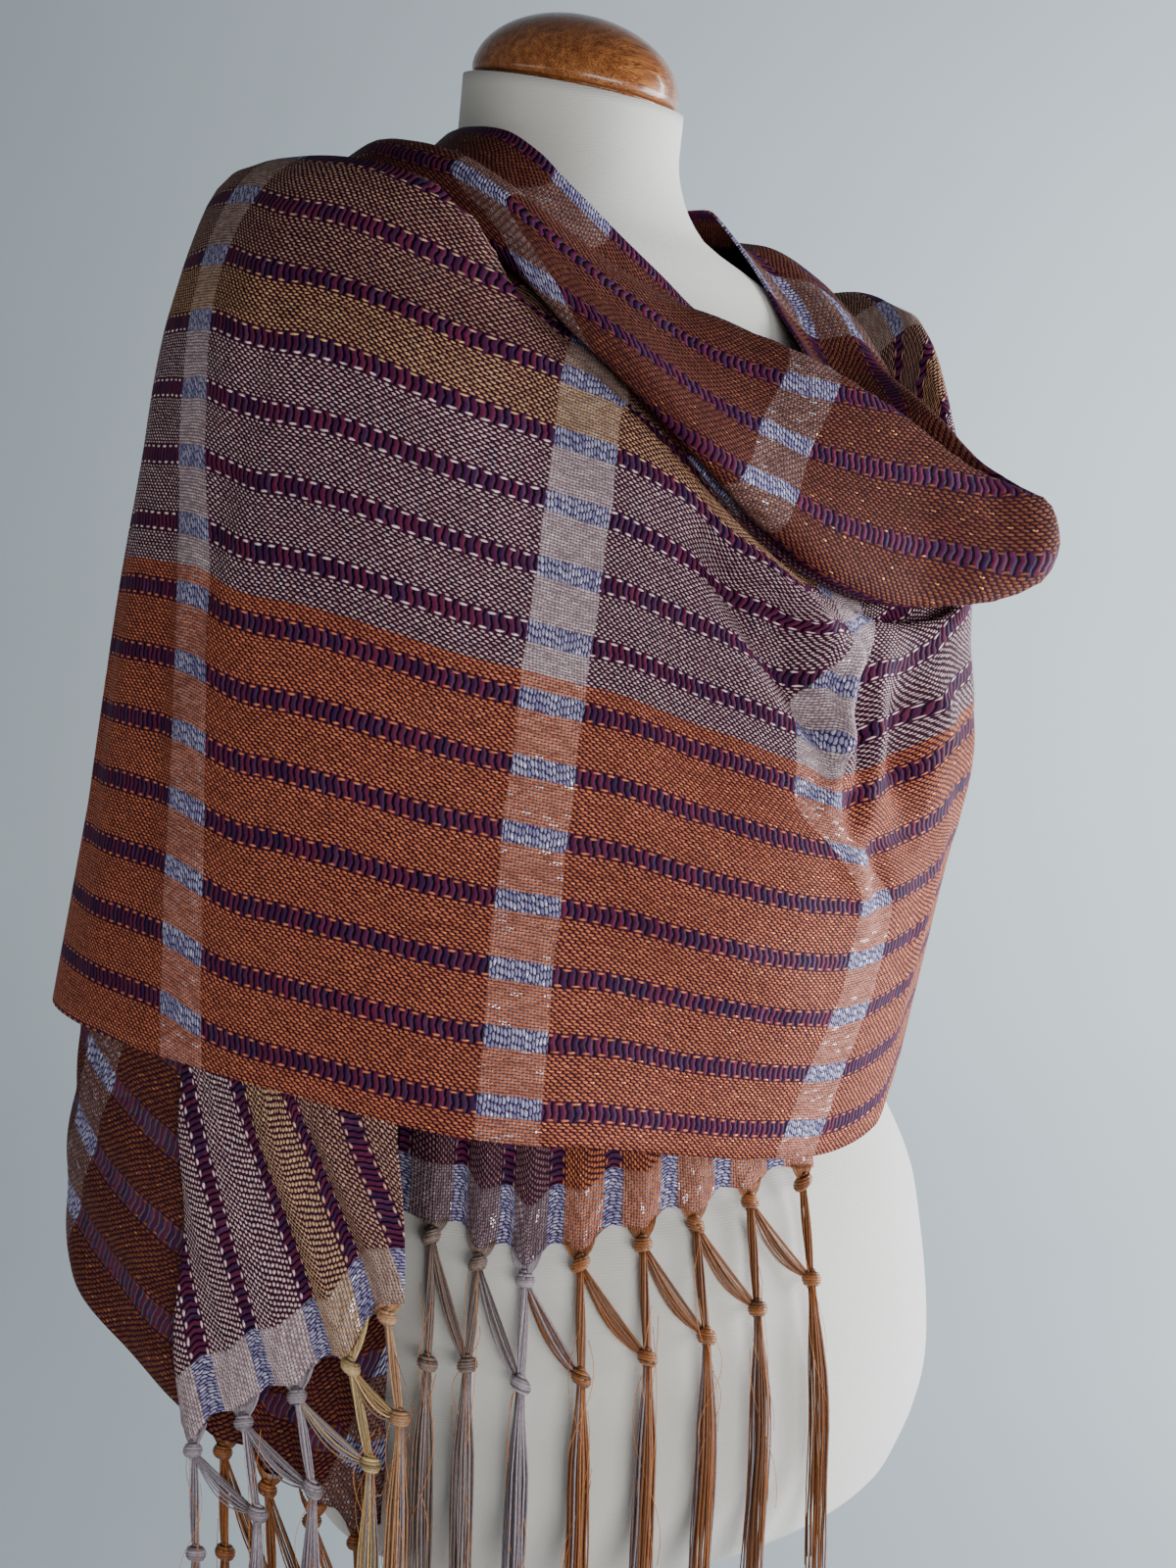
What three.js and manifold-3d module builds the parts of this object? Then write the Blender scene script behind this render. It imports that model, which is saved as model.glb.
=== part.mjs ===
// A hand-woven wrap with knotted fringes, worn round the shoulders of a limbless dress form.
// Millimetres, +Z up, the form faces -Y, and the origin is the middle of the stand's underside.
import * as THREE from "three";
import Module from "manifold-3d";
import { mergeVertices } from "three/addons/utils/BufferGeometryUtils.js";

const wasm = await Module();
wasm.setup();

// Driving sizes
const CLOTH = 2; // thickness of the woven cloth
const SEAM = 0.3; // gap where two stretches of the cloth meet
const REST = 0.5; // gap where cloth rests on the form
const LAYER = 0.9; // gap where cloth hangs inside cloth
const DEG = Math.PI / 180;
const FORM_FLOOR = 285; // height of the form's underside above the floor
const NECK_TILT = 12.5; // degrees that the neck's top leans forward
const BASE_RADIUS = 150;
const BASE_HEIGHT = 20;
const POLE_RADIUS = 15;

// Colours read off the cloth, the jersey cover and the turned wood
const COPPER = 0x8e4a26;
const LILAC = 0xa9a3b8;
const JERSEY = 0xe8e6de;
const CHERRY = 0x9a4f25;

// A table is a heading of column names over rows of numbers.
function table(heading, rows) {
  const names = heading.split(" ");
  return rows.map((row) => Object.fromEntries(names.map((name, i) => [name, row[i]])));
}

// A smooth curve through one column of a table, which never overshoots its rows.
// With a period it runs on round the circle.
function column(rows, key, name, period = 0) {
  const xs = rows.map((row) => row[key]);
  const ys = rows.map((row) => row[name]);
  if (period) {
    xs.unshift(xs[xs.length - 1] - period);
    ys.unshift(ys[ys.length - 1]);
    xs.push(xs[1] + period, xs[2] + period);
    ys.push(ys[1], ys[2]);
  }
  const slope = (i) => (ys[i + 1] - ys[i]) / (xs[i + 1] - xs[i]);
  const tangent = (i) => {
    if (i === 0) return slope(0);
    if (i === xs.length - 1) return slope(i - 1);
    const before = slope(i - 1);
    const after = slope(i);
    return before * after <= 0 ? 0 : (2 * before * after) / (before + after);
  };
  return (x) => {
    const at = period ? (((x - xs[1]) % period) + period) % period + xs[1] : x;
    const inside = Math.min(Math.max(at, xs[0]), xs[xs.length - 1]);
    let i = 0;
    while (i < xs.length - 2 && inside > xs[i + 1]) i++;
    const width = xs[i + 1] - xs[i];
    const t = (inside - xs[i]) / width;
    const bend = t * t * (3 - 2 * t);
    return (
      ys[i] * (1 - bend) +
      ys[i + 1] * bend +
      width * t * (1 - t) * (tangent(i) * (1 - t) - tangent(i + 1) * t)
    );
  };
}

function columns(rows, key, period = 0) {
  const names = Object.keys(rows[0]).filter((name) => name !== key);
  const curves = Object.fromEntries(names.map((name) => [name, column(rows, key, name, period)]));
  return (x) => Object.fromEntries(names.map((name) => [name, curves[name](x)]));
}

// The dress form: half-ellipses in front and behind, height by height above its underside
const FORM = table("height halfWidth front back middleY", [
  [0, 150, 104, 100, -34],
  [18, 172, 128, 118, -34],
  [70, 186, 142, 128, -34],
  [150, 180, 136, 122, -30],
  [270, 134, 102, 92, -14],
  [340, 138, 112, 94, -6],
  [430, 152, 138, 102, 4],
  [500, 164, 120, 106, 12],
  [560, 182, 98, 102, 22],
  [600, 188, 80, 88, 28],
  [625, 144, 72, 80, 32],
  [645, 84, 62, 68, 34],
  [665, 65, 59, 60, 35],
  [690, 58, 57, 58, 33],
  [714, 58, 57, 57, 31],
]);
const NECK_TOP = FORM[FORM.length - 1];
const NECK_BASE_HEIGHT = 665;
const formAt = columns(FORM, "height");

function formPoint(height, angle) {
  const row = formAt(height);
  const depth = Math.sin(angle) < 0 ? row.front : row.back;
  const forward = depth * Math.sin(angle);
  const rise = Math.max(0, (height - NECK_BASE_HEIGHT) / (NECK_TOP.height - NECK_BASE_HEIGHT));
  const lean = forward * Math.tan(NECK_TILT * DEG) * rise;
  return new THREE.Vector3(
    row.halfWidth * Math.cos(angle),
    forward + row.middleY,
    FORM_FLOOR + height + lean,
  );
}

// How far the form reaches from the upright through the origin, at a height above the floor
// and a direction in degrees round from +X.
function formReach(z, degrees) {
  const row = formAt(z - FORM_FLOOR);
  const ux = Math.cos(degrees * DEG);
  const uy = Math.sin(degrees * DEG);
  let reach = 0;
  for (const depth of [row.front, row.back]) {
    const a = (ux / row.halfWidth) ** 2 + (uy / depth) ** 2;
    const b = (-2 * uy * row.middleY) / depth ** 2;
    const c = (row.middleY / depth) ** 2 - 1;
    const r = (-b + Math.sqrt(Math.max(0, b * b - 4 * a * c))) / (2 * a);
    const isFront = r * uy < row.middleY;
    if (isFront === (depth === row.front)) reach = Math.max(reach, r);
  }
  return reach;
}

// The nearest that the outer face of resting cloth comes, whose wall is under it
const clearReach = (z, angle) => formReach(z - CLOTH, angle) + CLOTH + REST;

// A closed body from a grid of rings: each ring closes on itself, and both ends are capped.
function loft(rings) {
  const positions = rings.flat().flatMap((p) => [p.x, p.y, p.z]);
  const n = rings[0].length;
  const index = [];
  for (let i = 0; i + 1 < rings.length; i++)
    for (let j = 0; j < n; j++) {
      const a = i * n + j;
      const b = i * n + ((j + 1) % n);
      index.push(a, b, b + n, a, b + n, a + n);
    }
  for (const [ring, flip] of [
    [0, true],
    [rings.length - 1, false],
  ]) {
    const middle = rings[ring].reduce((sum, p) => sum.add(p), new THREE.Vector3()).divideScalar(n);
    const centre = positions.length / 3;
    positions.push(middle.x, middle.y, middle.z);
    for (let j = 0; j < n; j++) {
      const a = ring * n + j;
      const b = ring * n + ((j + 1) % n);
      if (flip) index.push(b, a, centre);
      else index.push(a, b, centre);
    }
  }
  const geometry = new THREE.BufferGeometry();
  geometry.setAttribute("position", new THREE.Float32BufferAttribute(positions, 3));
  geometry.setIndex(index);
  return geometry;
}

// Cloth: a grid of outer points, with the wall's inner points one thickness behind them.
// The grid's first direction crossed with its second points out of the cloth. Each line is
// given with the one just before it and the one just after, which steer the wall's slope.
function wall(lines) {
  const grid = lines.map(([, line]) => line);
  const rows = grid.length;
  const cols = grid[0].length;
  const inner = lines.map(([before, line, after]) =>
    line.map((p, j) => {
      const along = after[j].clone().sub(before[j]);
      const across = line[Math.min(j + 1, cols - 1)].clone().sub(line[Math.max(j - 1, 0)]);
      const normal = along.cross(across).normalize();
      return p.clone().addScaledVector(normal, -CLOTH);
    }),
  );
  const positions = [...grid.flat(), ...inner.flat()].flatMap((p) => [p.x, p.y, p.z]);
  const index = [];
  const quad = (a, b, c, d) => index.push(a, b, c, a, c, d);
  const back = rows * cols;
  const at = (i, j) => i * cols + j;
  for (let i = 0; i + 1 < rows; i++)
    for (let j = 0; j + 1 < cols; j++) {
      quad(at(i, j), at(i + 1, j), at(i + 1, j + 1), at(i, j + 1));
      quad(
        back + at(i, j),
        back + at(i, j + 1),
        back + at(i + 1, j + 1),
        back + at(i + 1, j),
      );
    }
  for (let i = 0; i + 1 < rows; i++) {
    quad(at(i, 0), back + at(i, 0), back + at(i + 1, 0), at(i + 1, 0));
    quad(
      at(i, cols - 1),
      at(i + 1, cols - 1),
      back + at(i + 1, cols - 1),
      back + at(i, cols - 1),
    );
  }
  for (let j = 0; j + 1 < cols; j++) {
    quad(at(0, j), at(0, j + 1), back + at(0, j + 1), back + at(0, j));
    quad(
      at(rows - 1, j),
      back + at(rows - 1, j),
      back + at(rows - 1, j + 1),
      at(rows - 1, j + 1),
    );
  }
  const geometry = new THREE.BufferGeometry();
  geometry.setAttribute("position", new THREE.Float32BufferAttribute(positions, 3));
  geometry.setIndex(index);
  return geometry;
}

// Points spaced evenly along a smooth line through a few [radius, height] points
function evenly(points, count) {
  const line = new THREE.CatmullRomCurve3(
    points.map(([r, z]) => new THREE.Vector3(r, 0, z)),
    false,
    "centripetal",
  );
  line.arcLengthDivisions = 120;
  return Array.from({ length: count + 1 }, (_, i) => {
    const p = line.getPointAt(i / count);
    return [p.x, p.z];
  });
}

function polar(radius, degrees, z) {
  return new THREE.Vector3(radius * Math.cos(degrees * DEG), radius * Math.sin(degrees * DEG), z);
}

// The wrap, section by section round the form. Each section climbs from the hem, over the
// shoulder's hump, and in to the tuck, where the cloth turns back under the rolled collar.
// low, mid and high lie at set shares of the climb from the hem to the hump.
const CLIMB_SHARES = { low: 0.3, mid: 0.6, high: 0.85 };
const WRAP = table("angle hemR hemZ low mid high humpR humpZ", [
  [0, 186, 546, 194, 204, 214, 196, 924],
  [30, 190, 549, 186, 186, 190, 166, 922],
  [60, 188, 546, 178, 170, 160, 142, 918],
  [90, 195, 541, 178, 162, 150, 140, 918],
  [120, 245, 537, 224, 200, 174, 150, 922],
  [135, 266, 536, 246, 228, 204, 178, 928],
  [150, 270, 534, 251, 233, 216, 192, 929],
  [165, 258, 531, 245, 234, 222, 197, 929],
  [180, 245, 528, 240, 234, 226, 192, 927],
  [195, 234, 522, 226, 218, 209, 182, 919],
  [205, 226, 515, 212, 201, 191, 172, 897],
  [212, 218, 510, 203, 190, 179, 165, 863],
  [219, 208, 506, 195, 182, 170, 158, 843],
  [228, 193, 502, 186, 176, 166, 156, 821],
  [240, 176, 494, 180, 173, 163, 153, 792],
  [255, 167, 487, 175, 176, 166, 151, 760],
  [270, 164, 483, 173, 178, 170, 155, 740],
  [285, 165, 488, 174, 184, 180, 168, 731],
  [295, 164, 502, 176, 188, 188, 182, 738],
  [302, 164, 508, 178, 190, 190, 187, 752],
  [309, 166, 513, 179, 190, 191, 188, 766],
  [315, 166, 517, 180, 191, 192, 187, 782],
  [330, 172, 529, 182, 192, 202, 190, 850],
  [345, 180, 539, 190, 200, 212, 196, 908],
]);
const wrapAt = columns(WRAP, "angle", 360);

// Soft folds in the wrap: each runs between two places, given as degrees round and height,
// and stands out by its rise, or sinks by it.
const FOLDS = table("angle z toAngle toZ width rise", [
  [224, 806, 270, 722, 12, 7],
  [234, 772, 279, 700, 12, -6],
  [286, 728, 280, 640, 15, -15],
  [298, 730, 300, 640, 14, 5],
  [188, 884, 210, 850, 10, -6],
  [160, 880, 163, 560, 22, 6],
  [143, 860, 138, 560, 18, -7],
  [118, 880, 112, 560, 20, 8],
  [88, 870, 92, 580, 20, -6],
  [62, 860, 58, 570, 22, 7],
  [25, 850, 28, 580, 22, -6],
  [352, 860, 350, 580, 20, 6],
]);

function foldRise(angle, z, radius) {
  let rise = 0;
  for (const fold of FOLDS) {
    const dx = (fold.toAngle - fold.angle) * DEG * radius;
    const dz = fold.toZ - fold.z;
    const turn = ((((angle - fold.angle + 180) % 360) + 360) % 360) - 180;
    const px = turn * DEG * radius;
    const pz = z - fold.z;
    const share = (px * dx + pz * dz) / (dx * dx + dz * dz);
    const near = Math.min(Math.max(share, 0), 1);
    const away = Math.hypot(px - near * dx, pz - near * dz);
    const fade = Math.sin(Math.PI * Math.min(Math.max(0.12 + 0.76 * near, 0), 1));
    rise += fold.rise * fade * Math.exp(-((away / fold.width) ** 2));
  }
  return rise;
}

// The collar: the wrap's upper part, rolled over. tuck is the innermost line of the fold, belly
// the roll's lowest line, ridge its crest, and edge the woven edge that stands at the neck.
const COLLAR = table("angle tuckR tuckZ bellyR bellyZ ridgeR ridgeZ edgeR edgeZ", [
  [0, 138, 918, 156, 917, 122, 939, 74, 950],
  [15, 134, 921, 151, 920, 116, 944, 79, 953],
  [30, 131, 925, 147, 924, 112, 951, 84, 956],
  [60, 118, 929, 134, 928, 112, 955, 94, 961],
  [90, 113, 930, 129, 929, 111, 957, 96, 964],
  [120, 114, 930, 130, 930, 110, 958, 94, 965],
  [135, 117, 931, 134, 930, 112, 956, 92, 965],
  [150, 126, 930, 143, 927, 120, 953, 88, 965],
  [165, 134, 925, 151, 922, 133, 949, 90, 963],
  [180, 140, 914, 156, 911, 144, 944, 97, 959],
  [195, 140, 900, 156, 897, 143, 934, 102, 953],
  [205, 141, 888, 157, 885, 138, 920, 101, 942],
  [212, 142, 873, 159, 870, 131, 908, 99, 930],
  [219, 143, 855, 160, 851, 123, 897, 96, 919],
  [228, 142, 834, 159, 830, 115, 886, 91, 906],
  [240, 139, 805, 156, 801, 109, 876, 86, 892],
  [255, 137, 773, 154, 769, 114, 867, 84, 876],
  [270, 141, 752, 158, 747, 132, 854, 88, 866],
  [285, 153, 743, 171, 738, 160, 838, 98, 856],
  [295, 168, 747, 198, 742, 184, 818, 104, 852],
  [302, 175, 760, 224, 759, 216, 806, 106, 854],
  [309, 175, 774, 208, 768, 188, 826, 104, 860],
  [315, 172, 790, 189, 785, 170, 840, 102, 868],
  [330, 152, 838, 168, 834, 152, 868, 96, 890],
  [345, 144, 888, 160, 887, 131, 911, 86, 923],
]);
const collarAt = columns(COLLAR, "angle", 360);
const TUCK_GAP = 5; // between the two layers inside the tuck
const TUCK_SEAM = 1.3; // where wrap and collar meet inside the tuck
const DIP = 7; // how far the wrap dips under the roll's belly
const BULGE = 7; // how far the roll's face swells out between belly and ridge
const GUTTER = 4; // depth of the hollow between the ridge and the woven edge

// The wrap's section: the climb evenly spaced, then the short run in under the collar
function wrapSection(angle, count) {
  const s = wrapAt(angle);
  const tuck = collarAt(angle);
  const climb = (share) => s.hemZ + share * (s.humpZ - s.hemZ);
  const points = [
    [s.hemR, s.hemZ],
    ...Object.entries(CLIMB_SHARES).map(([name, share]) => [s[name], climb(share)]),
    [s.humpR, s.humpZ],
    [Math.min(tuck.bellyR + 2, s.humpR - 6), tuck.bellyZ - DIP],
    [tuck.tuckR, tuck.tuckZ - TUCK_GAP / 2],
  ];
  return evenly(points, count).map(([r, z], j) => {
    const free = Math.min(1, (count - j) / 4);
    const folded = r + free * foldRise(angle, z, r);
    return polar(Math.max(folded, clearReach(z, angle)), angle, z);
  });
}

// How far the wrap reaches at a height up its climb
function wrapReach(z, angle) {
  const line = wrapSection(angle, 60).map((p) => [Math.hypot(p.x, p.y), p.z]);
  const at = line.findIndex((p) => p[1] > z);
  const [low, high] = at > 0 ? [line[at - 1], line[at]] : [line[0], line[1]];
  return low[0] + ((high[0] - low[0]) * (z - low[1])) / (high[1] - low[1]);
}

function collarSection(angle, count) {
  const s = collarAt(angle);
  const midR = (s.bellyR + s.ridgeR) / 2;
  const midZ = (s.bellyZ + s.ridgeZ) / 2;
  const length = Math.hypot(s.ridgeR - s.bellyR, s.ridgeZ - s.bellyZ);
  const outR = (s.ridgeZ - s.bellyZ) / length;
  const outZ = (s.bellyR - s.ridgeR) / length;
  const gutterR = s.ridgeR * 0.55 + s.edgeR * 0.45;
  const gutterZ = Math.min(s.ridgeZ, s.edgeZ) - GUTTER;
  const turn = [
    [s.tuckR - TUCK_SEAM, s.tuckZ - TUCK_GAP / 2],
    [s.tuckR - TUCK_SEAM - TUCK_GAP / 2, s.tuckZ],
  ];
  const roll = [
    [s.tuckR - TUCK_SEAM, s.tuckZ + TUCK_GAP / 2],
    [s.bellyR - 3, s.bellyZ + 1],
    [s.bellyR + outR * 3, s.bellyZ + 9],
    [midR + outR * BULGE, midZ + outZ * BULGE],
    [s.ridgeR, s.ridgeZ],
    [gutterR, gutterZ],
    [s.edgeR, s.edgeZ],
  ];
  return [...turn, ...evenly(roll, count - turn.length)].map(([r, z]) => {
    return polar(Math.max(r, clearReach(z, angle)), angle, z);
  });
}

// A stretch of a ring of cloth, from one direction to another in degrees
function stretch(section, from, to, steps, count) {
  return wall(
    Array.from({ length: steps + 1 }, (_, i) => {
      const angle = from + ((to - from) * i) / steps;
      return [angle - 1, angle, angle + 1].map((a) => section(a, count));
    }),
  );
}

const FRONT_FROM = 128; // where the front stretch starts, at the form's right shoulder blade
const FRONT_TO = 340; // and ends, past its left shoulder
const SEAM_ANGLE = 0.12; // degrees that leave a seam of about 0.3 mm at the collar's edge

// The knots along each end's edge, one to a group of warps: where each sits, in degrees round
// and height, and where the second row of knots hangs below it.
const FRONT_KNOTS = table("angle z lowAngle lowZ", [
  [204.7, 454.7, 206.4, 403],
  [211.7, 446.1, 211.6, 404.3],
  [218.2, 440.4, 218.5, 397.5],
  [225.6, 447.2, 226.2, 400.5],
  [234.7, 454, 235.1, 407.4],
  [243.4, 459.9, 243.9, 413.7],
  [253.5, 466.8, 252.6, 422],
  [265.1, 470.9, 263.5, 429.4],
]);
const FLAP_KNOTS = table("angle z lowAngle lowZ", [
  [180.9, 353.8, 181.6, 307.2],
  [187, 371.9, 188.8, 332],
  [192.9, 387.2, 194.9, 346.8],
  [198.7, 402.7, 201.2, 360.1],
  [202.6, 425.8, 204.4, 381.6],
]);
const DROP_KNOTS = table("angle z lowAngle lowZ", [
  [182.5, 352, 183, 306],
  [187.5, 338, 188.5, 292],
  [192.7, 326, 193.8, 280],
  [198.2, 319, 199.5, 272],
]);
const SCALLOP = 5; // how far the woven edge rises between two knots
const EDGE_GAP = 0.5; // between the woven edge and the fringe's own strip
const STEEP_GAP = 1.2; // the same, where the edge climbs steeply
const KNOT_RADIUS = 4.2;
const KNOT_TALL = 1.2; // a knot's height over its width
const STRAND_RADIUS = 1.2;
const FRINGE_LENGTH = 172; // from the woven edge to the tips

// The line of a woven end: low at each knot, scalloped between them, with a corner at each side
function endLine(knots, first, last) {
  const line = [first];
  knots.forEach((knot, i) => {
    const above = KNOT_RADIUS * KNOT_TALL + STEEP_GAP;
    line.push([knot.angle, knot.z + above]);
    const next = knots[i + 1];
    if (next)
      line.push([(knot.angle + next.angle) / 2, (knot.z + next.z) / 2 + above + SCALLOP]);
  });
  line.push(last);
  return line;
}

// The front end hangs down on the form's belly, the flap and the drop hang free at its right hip
const HANG_HEIGHT = 460; // where the front end first meets the form
function frontReach(z, angle) {
  const lean = 0.06 * Math.max(0, z - HANG_HEIGHT);
  return formReach(Math.min(z, HANG_HEIGHT), angle) + CLOTH + REST - lean;
}

const FLAP = table("angle reach", [
  [175, 244],
  [180, 242],
  [185, 236],
  [190, 229],
  [195, 222],
  [200, 215],
  [206, 208],
]);
const flapAt = columns(FLAP, "angle");
// layers: how many cloths deep the drop lies under the wrap
const DROP = table("angle reach layers", [
  [136, 240, 6],
  [142, 253, 6],
  [148, 261, 5.5],
  [154, 263, 4],
  [160, 260, 2],
  [170, 250, 1.4],
  [178, 238, 2],
  [184, 227, 2],
  [190, 216, 2],
  [198, 206, 2],
  [204, 203, 2],
]);
const dropAt = columns(DROP, "angle");
const SETTLE = 80; // how far below the hem a hanging end has left the wrap's inner face

function hangReach(z, angle, below, layers) {
  const hem = wrapAt(angle).hemZ;
  const under = wrapReach(Math.max(z, hem), angle) - layers * (CLOTH + LAYER);
  const share = Math.min(1, Math.max(0, hem - z) / SETTLE);
  return under + (below - under) * share * share * (3 - 2 * share);
}
const flapReach = (z, angle) => hangReach(z, angle, flapAt(angle).reach, 1);
const dropReach = (z, angle) => hangReach(z, angle, dropAt(angle).reach, dropAt(angle).layers);

// A hanging end: from its woven edge up to a little above the hem, inside the wrap
const TUCKED = 18;
function hanging(line, reach, count) {
  return wall(
    line.map(([angle, z]) =>
      [angle - 1, angle, angle + 1].map((a) => {
        const top = wrapAt(angle).hemZ + TUCKED;
        return Array.from({ length: count + 1 }, (_, j) => {
          const at = z + ((top - z) * j) / count;
          return polar(reach(at, a), a, at);
        });
      }),
    ),
  );
}

const FRONT_LINE = endLine(FRONT_KNOTS, [198, 464], [268.5, 476]);
const FLAP_LINE = endLine(FLAP_KNOTS, [178.6, 363], [204.8, 433]);
const DROP_END = endLine(DROP_KNOTS, [179.5, 366], [201.5, 330]);
const DROP_LINE = [
  [138, 472],
  [141, 448],
  [146, 430],
  [152, 418],
  [160, 406],
  [168, 389],
  [174, 376],
  ...DROP_END,
];

// A strand along a few points, three-sided, thinning to its tip
function strand(points, from, to) {
  const rings = points.map((p, i) => {
    const ahead = points[Math.min(i + 1, points.length - 1)];
    const behind = points[Math.max(i - 1, 0)];
    const along = ahead.clone().sub(behind).normalize();
    const out = new THREE.Vector3(p.x, p.y, 0).normalize();
    const side = along.clone().cross(out).normalize();
    const face = side.clone().cross(along).normalize();
    const radius = from + ((to - from) * i) / (points.length - 1);
    return [0, 1, 2].map((k) =>
      p
        .clone()
        .addScaledVector(face, radius * Math.cos((k * 2 * Math.PI) / 3))
        .addScaledVector(side, radius * Math.sin((k * 2 * Math.PI) / 3)),
    );
  });
  return solid(loft(rings));
}

function knot(centre, radius) {
  const rings = [
    [-0.95, 0.45],
    [0, 1],
    [0.95, 0.45],
  ].map(([up, wide]) =>
    Array.from({ length: 5 }, (_, k) => {
      const a = (k * 2 * Math.PI) / 5;
      return new THREE.Vector3(
        centre.x + radius * wide * Math.cos(a),
        centre.y + radius * wide * Math.sin(a),
        centre.z + radius * KNOT_TALL * up,
      );
    }),
  );
  return solid(loft(rings));
}

function solid(geometry) {
  return new wasm.Manifold(
    new wasm.Mesh({
      numProp: 3,
      vertProperties: new Float32Array(geometry.getAttribute("position").array),
      triVerts: new Uint32Array(geometry.index.array),
    }),
  );
}

// One body from many that meet, with no sealed hollow left between them
function joined(solids) {
  const bodies = wasm.Manifold.union(solids).decompose();
  const body = bodies.reduce((most, next) => (next.volume() > most.volume() ? next : most));
  const mesh = body.getMesh();
  const geometry = new THREE.BufferGeometry();
  const positions = new THREE.BufferAttribute(new Float32Array(mesh.vertProperties), 3);
  geometry.setAttribute("position", positions);
  geometry.setIndex(new THREE.BufferAttribute(new Uint32Array(mesh.triVerts), 1));
  return geometry;
}

// A fringe: a narrow strip just under the woven edge, a knot to each group of warps, a straight
// bundle and two bowed ones down to the second row of knots, and a tassel under each of those.
const STRIP_HEIGHT = 3.5;
const STRIP_DEPTH = 3;
const TASSEL_STRANDS = 4;
function fringe(knots, line, reach, gap) {
  const middle = (z, angle) => polar(reach(z, angle) - CLOTH / 2, angle, z);
  const strip = loft(
    line.map(([angle, edge]) => {
      const z = edge - gap;
      const outer = reach(z, angle);
      return [
        polar(outer - STRIP_DEPTH, angle, z - STRIP_HEIGHT),
        polar(outer - STRIP_DEPTH, angle, z),
        polar(outer, angle, z),
        polar(outer, angle, z - STRIP_HEIGHT),
      ];
    }),
  );
  const solids = [solid(strip)];
  knots.forEach((k, i) => {
    const top = middle(k.z, k.angle);
    const low = middle(k.lowZ, k.lowAngle);
    const out = new THREE.Vector3(low.x, low.y, 0).normalize();
    const side = new THREE.Vector3(-out.y, out.x, 0);
    const halfway = (a, b, bow) => a.clone().lerp(b, 0.5).addScaledVector(side, bow);
    solids.push(knot(top, KNOT_RADIUS), knot(low, KNOT_RADIUS));
    solids.push(strand([top, low], 1.8, 1.8));
    if (i) {
      const from = middle(knots[i - 1].z, knots[i - 1].angle);
      for (const [bow, drop] of [
        [3, 4],
        [-2, -5],
      ]) {
        const sag = halfway(from, low, bow);
        sag.z += drop;
        solids.push(strand([from, sag, low], STRAND_RADIUS, STRAND_RADIUS));
      }
    }
    const tip = k.z - FRINGE_LENGTH + 5 * Math.sin(i * 2.4);
    for (let s = 0; s < TASSEL_STRANDS; s++) {
      const a = ((s + 0.5) / TASSEL_STRANDS) * 2 * Math.PI;
      const points = [0, 0.14, 1].map((share, j) => {
        const spread = [0.8, 3.2, 4.2][j];
        const z = low.z + (tip - low.z) * share + (j === 2 ? 4 * Math.sin(s * 1.9 + i) : 0);
        return middle(z, k.lowAngle)
          .addScaledVector(side, spread * Math.cos(a))
          .addScaledVector(out, spread * Math.sin(a));
      });
      solids.push(strand(points, STRAND_RADIUS, 0.7));
    }
  });
  return joined(solids);
}

// What each fringe hangs over: the front one lies over the form's hips and falls free of them
const HIP_HEIGHT = 355;
const frontFringeReach = (z, angle) =>
  z > HANG_HEIGHT - 20
    ? frontReach(z, angle) + 3
    : formReach(Math.max(z, HIP_HEIGHT), angle) + KNOT_RADIUS + 2 * CLOTH;
const flapFringeReach = (z, angle) => flapAt(angle).reach;
const dropFringeReach = (z, angle) => dropAt(angle).reach;

// The stand
const standBase = new THREE.LatheGeometry(
  [
    [0, 0],
    [BASE_RADIUS - 2, 0],
    [BASE_RADIUS, 2],
    [BASE_RADIUS, BASE_HEIGHT - 6],
    [BASE_RADIUS - 6, BASE_HEIGHT],
    [30, BASE_HEIGHT],
    [24, BASE_HEIGHT + 6],
    [22, BASE_HEIGHT + 18],
    [0, BASE_HEIGHT + 18],
  ].map(([r, z]) => new THREE.Vector2(r, z)),
  36,
).rotateX(Math.PI / 2);
const poleFrom = BASE_HEIGHT + 18 + SEAM;
const poleLength = FORM_FLOOR - SEAM - poleFrom;
const standPole = new THREE.CylinderGeometry(POLE_RADIUS, POLE_RADIUS, poleLength, 24)
  .rotateX(Math.PI / 2)
  .translate(0, 0, poleFrom + poleLength / 2);

// The form's body, and the turned cap on its neck
const FORM_STEPS = 40;
const FORM_HEIGHTS = [
  0, 8, 18, 42, 70, 110, 145, 160, 172, 190, 230, 270, 305, 340, 385, 430, 500, 560, 600, 614, 625, 636, 645, 665,
  690, 714,
];
const formBody = loft(
  FORM_HEIGHTS.map((height) =>
    Array.from({ length: FORM_STEPS }, (_, j) => formPoint(height, (j / FORM_STEPS) * 2 * Math.PI)),
  ),
);
const CAP_RADIUS = 54.5;
const CAP_RISE = 37;
const CAP_LIP = 2.5; // the shadow gap under the cap
const CAP_ARC = 8;
const neckCap = new THREE.LatheGeometry(
  [
    new THREE.Vector2(0, 0),
    new THREE.Vector2(CAP_RADIUS - 6, 0),
    new THREE.Vector2(CAP_RADIUS - 6, CAP_LIP),
    ...Array.from({ length: CAP_ARC }, (_, i) => {
      const a = ((i / CAP_ARC) * Math.PI) / 2;
      return new THREE.Vector2(CAP_RADIUS * Math.cos(a), CAP_LIP + CAP_RISE * Math.sin(a));
    }),
    new THREE.Vector2(0, CAP_LIP + CAP_RISE),
  ],
  28,
)
  .rotateX(Math.PI / 2)
  .translate(0, 0, SEAM)
  .rotateX(NECK_TILT * DEG)
  .translate(0, NECK_TOP.middleY, FORM_FLOOR + NECK_TOP.height);

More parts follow.
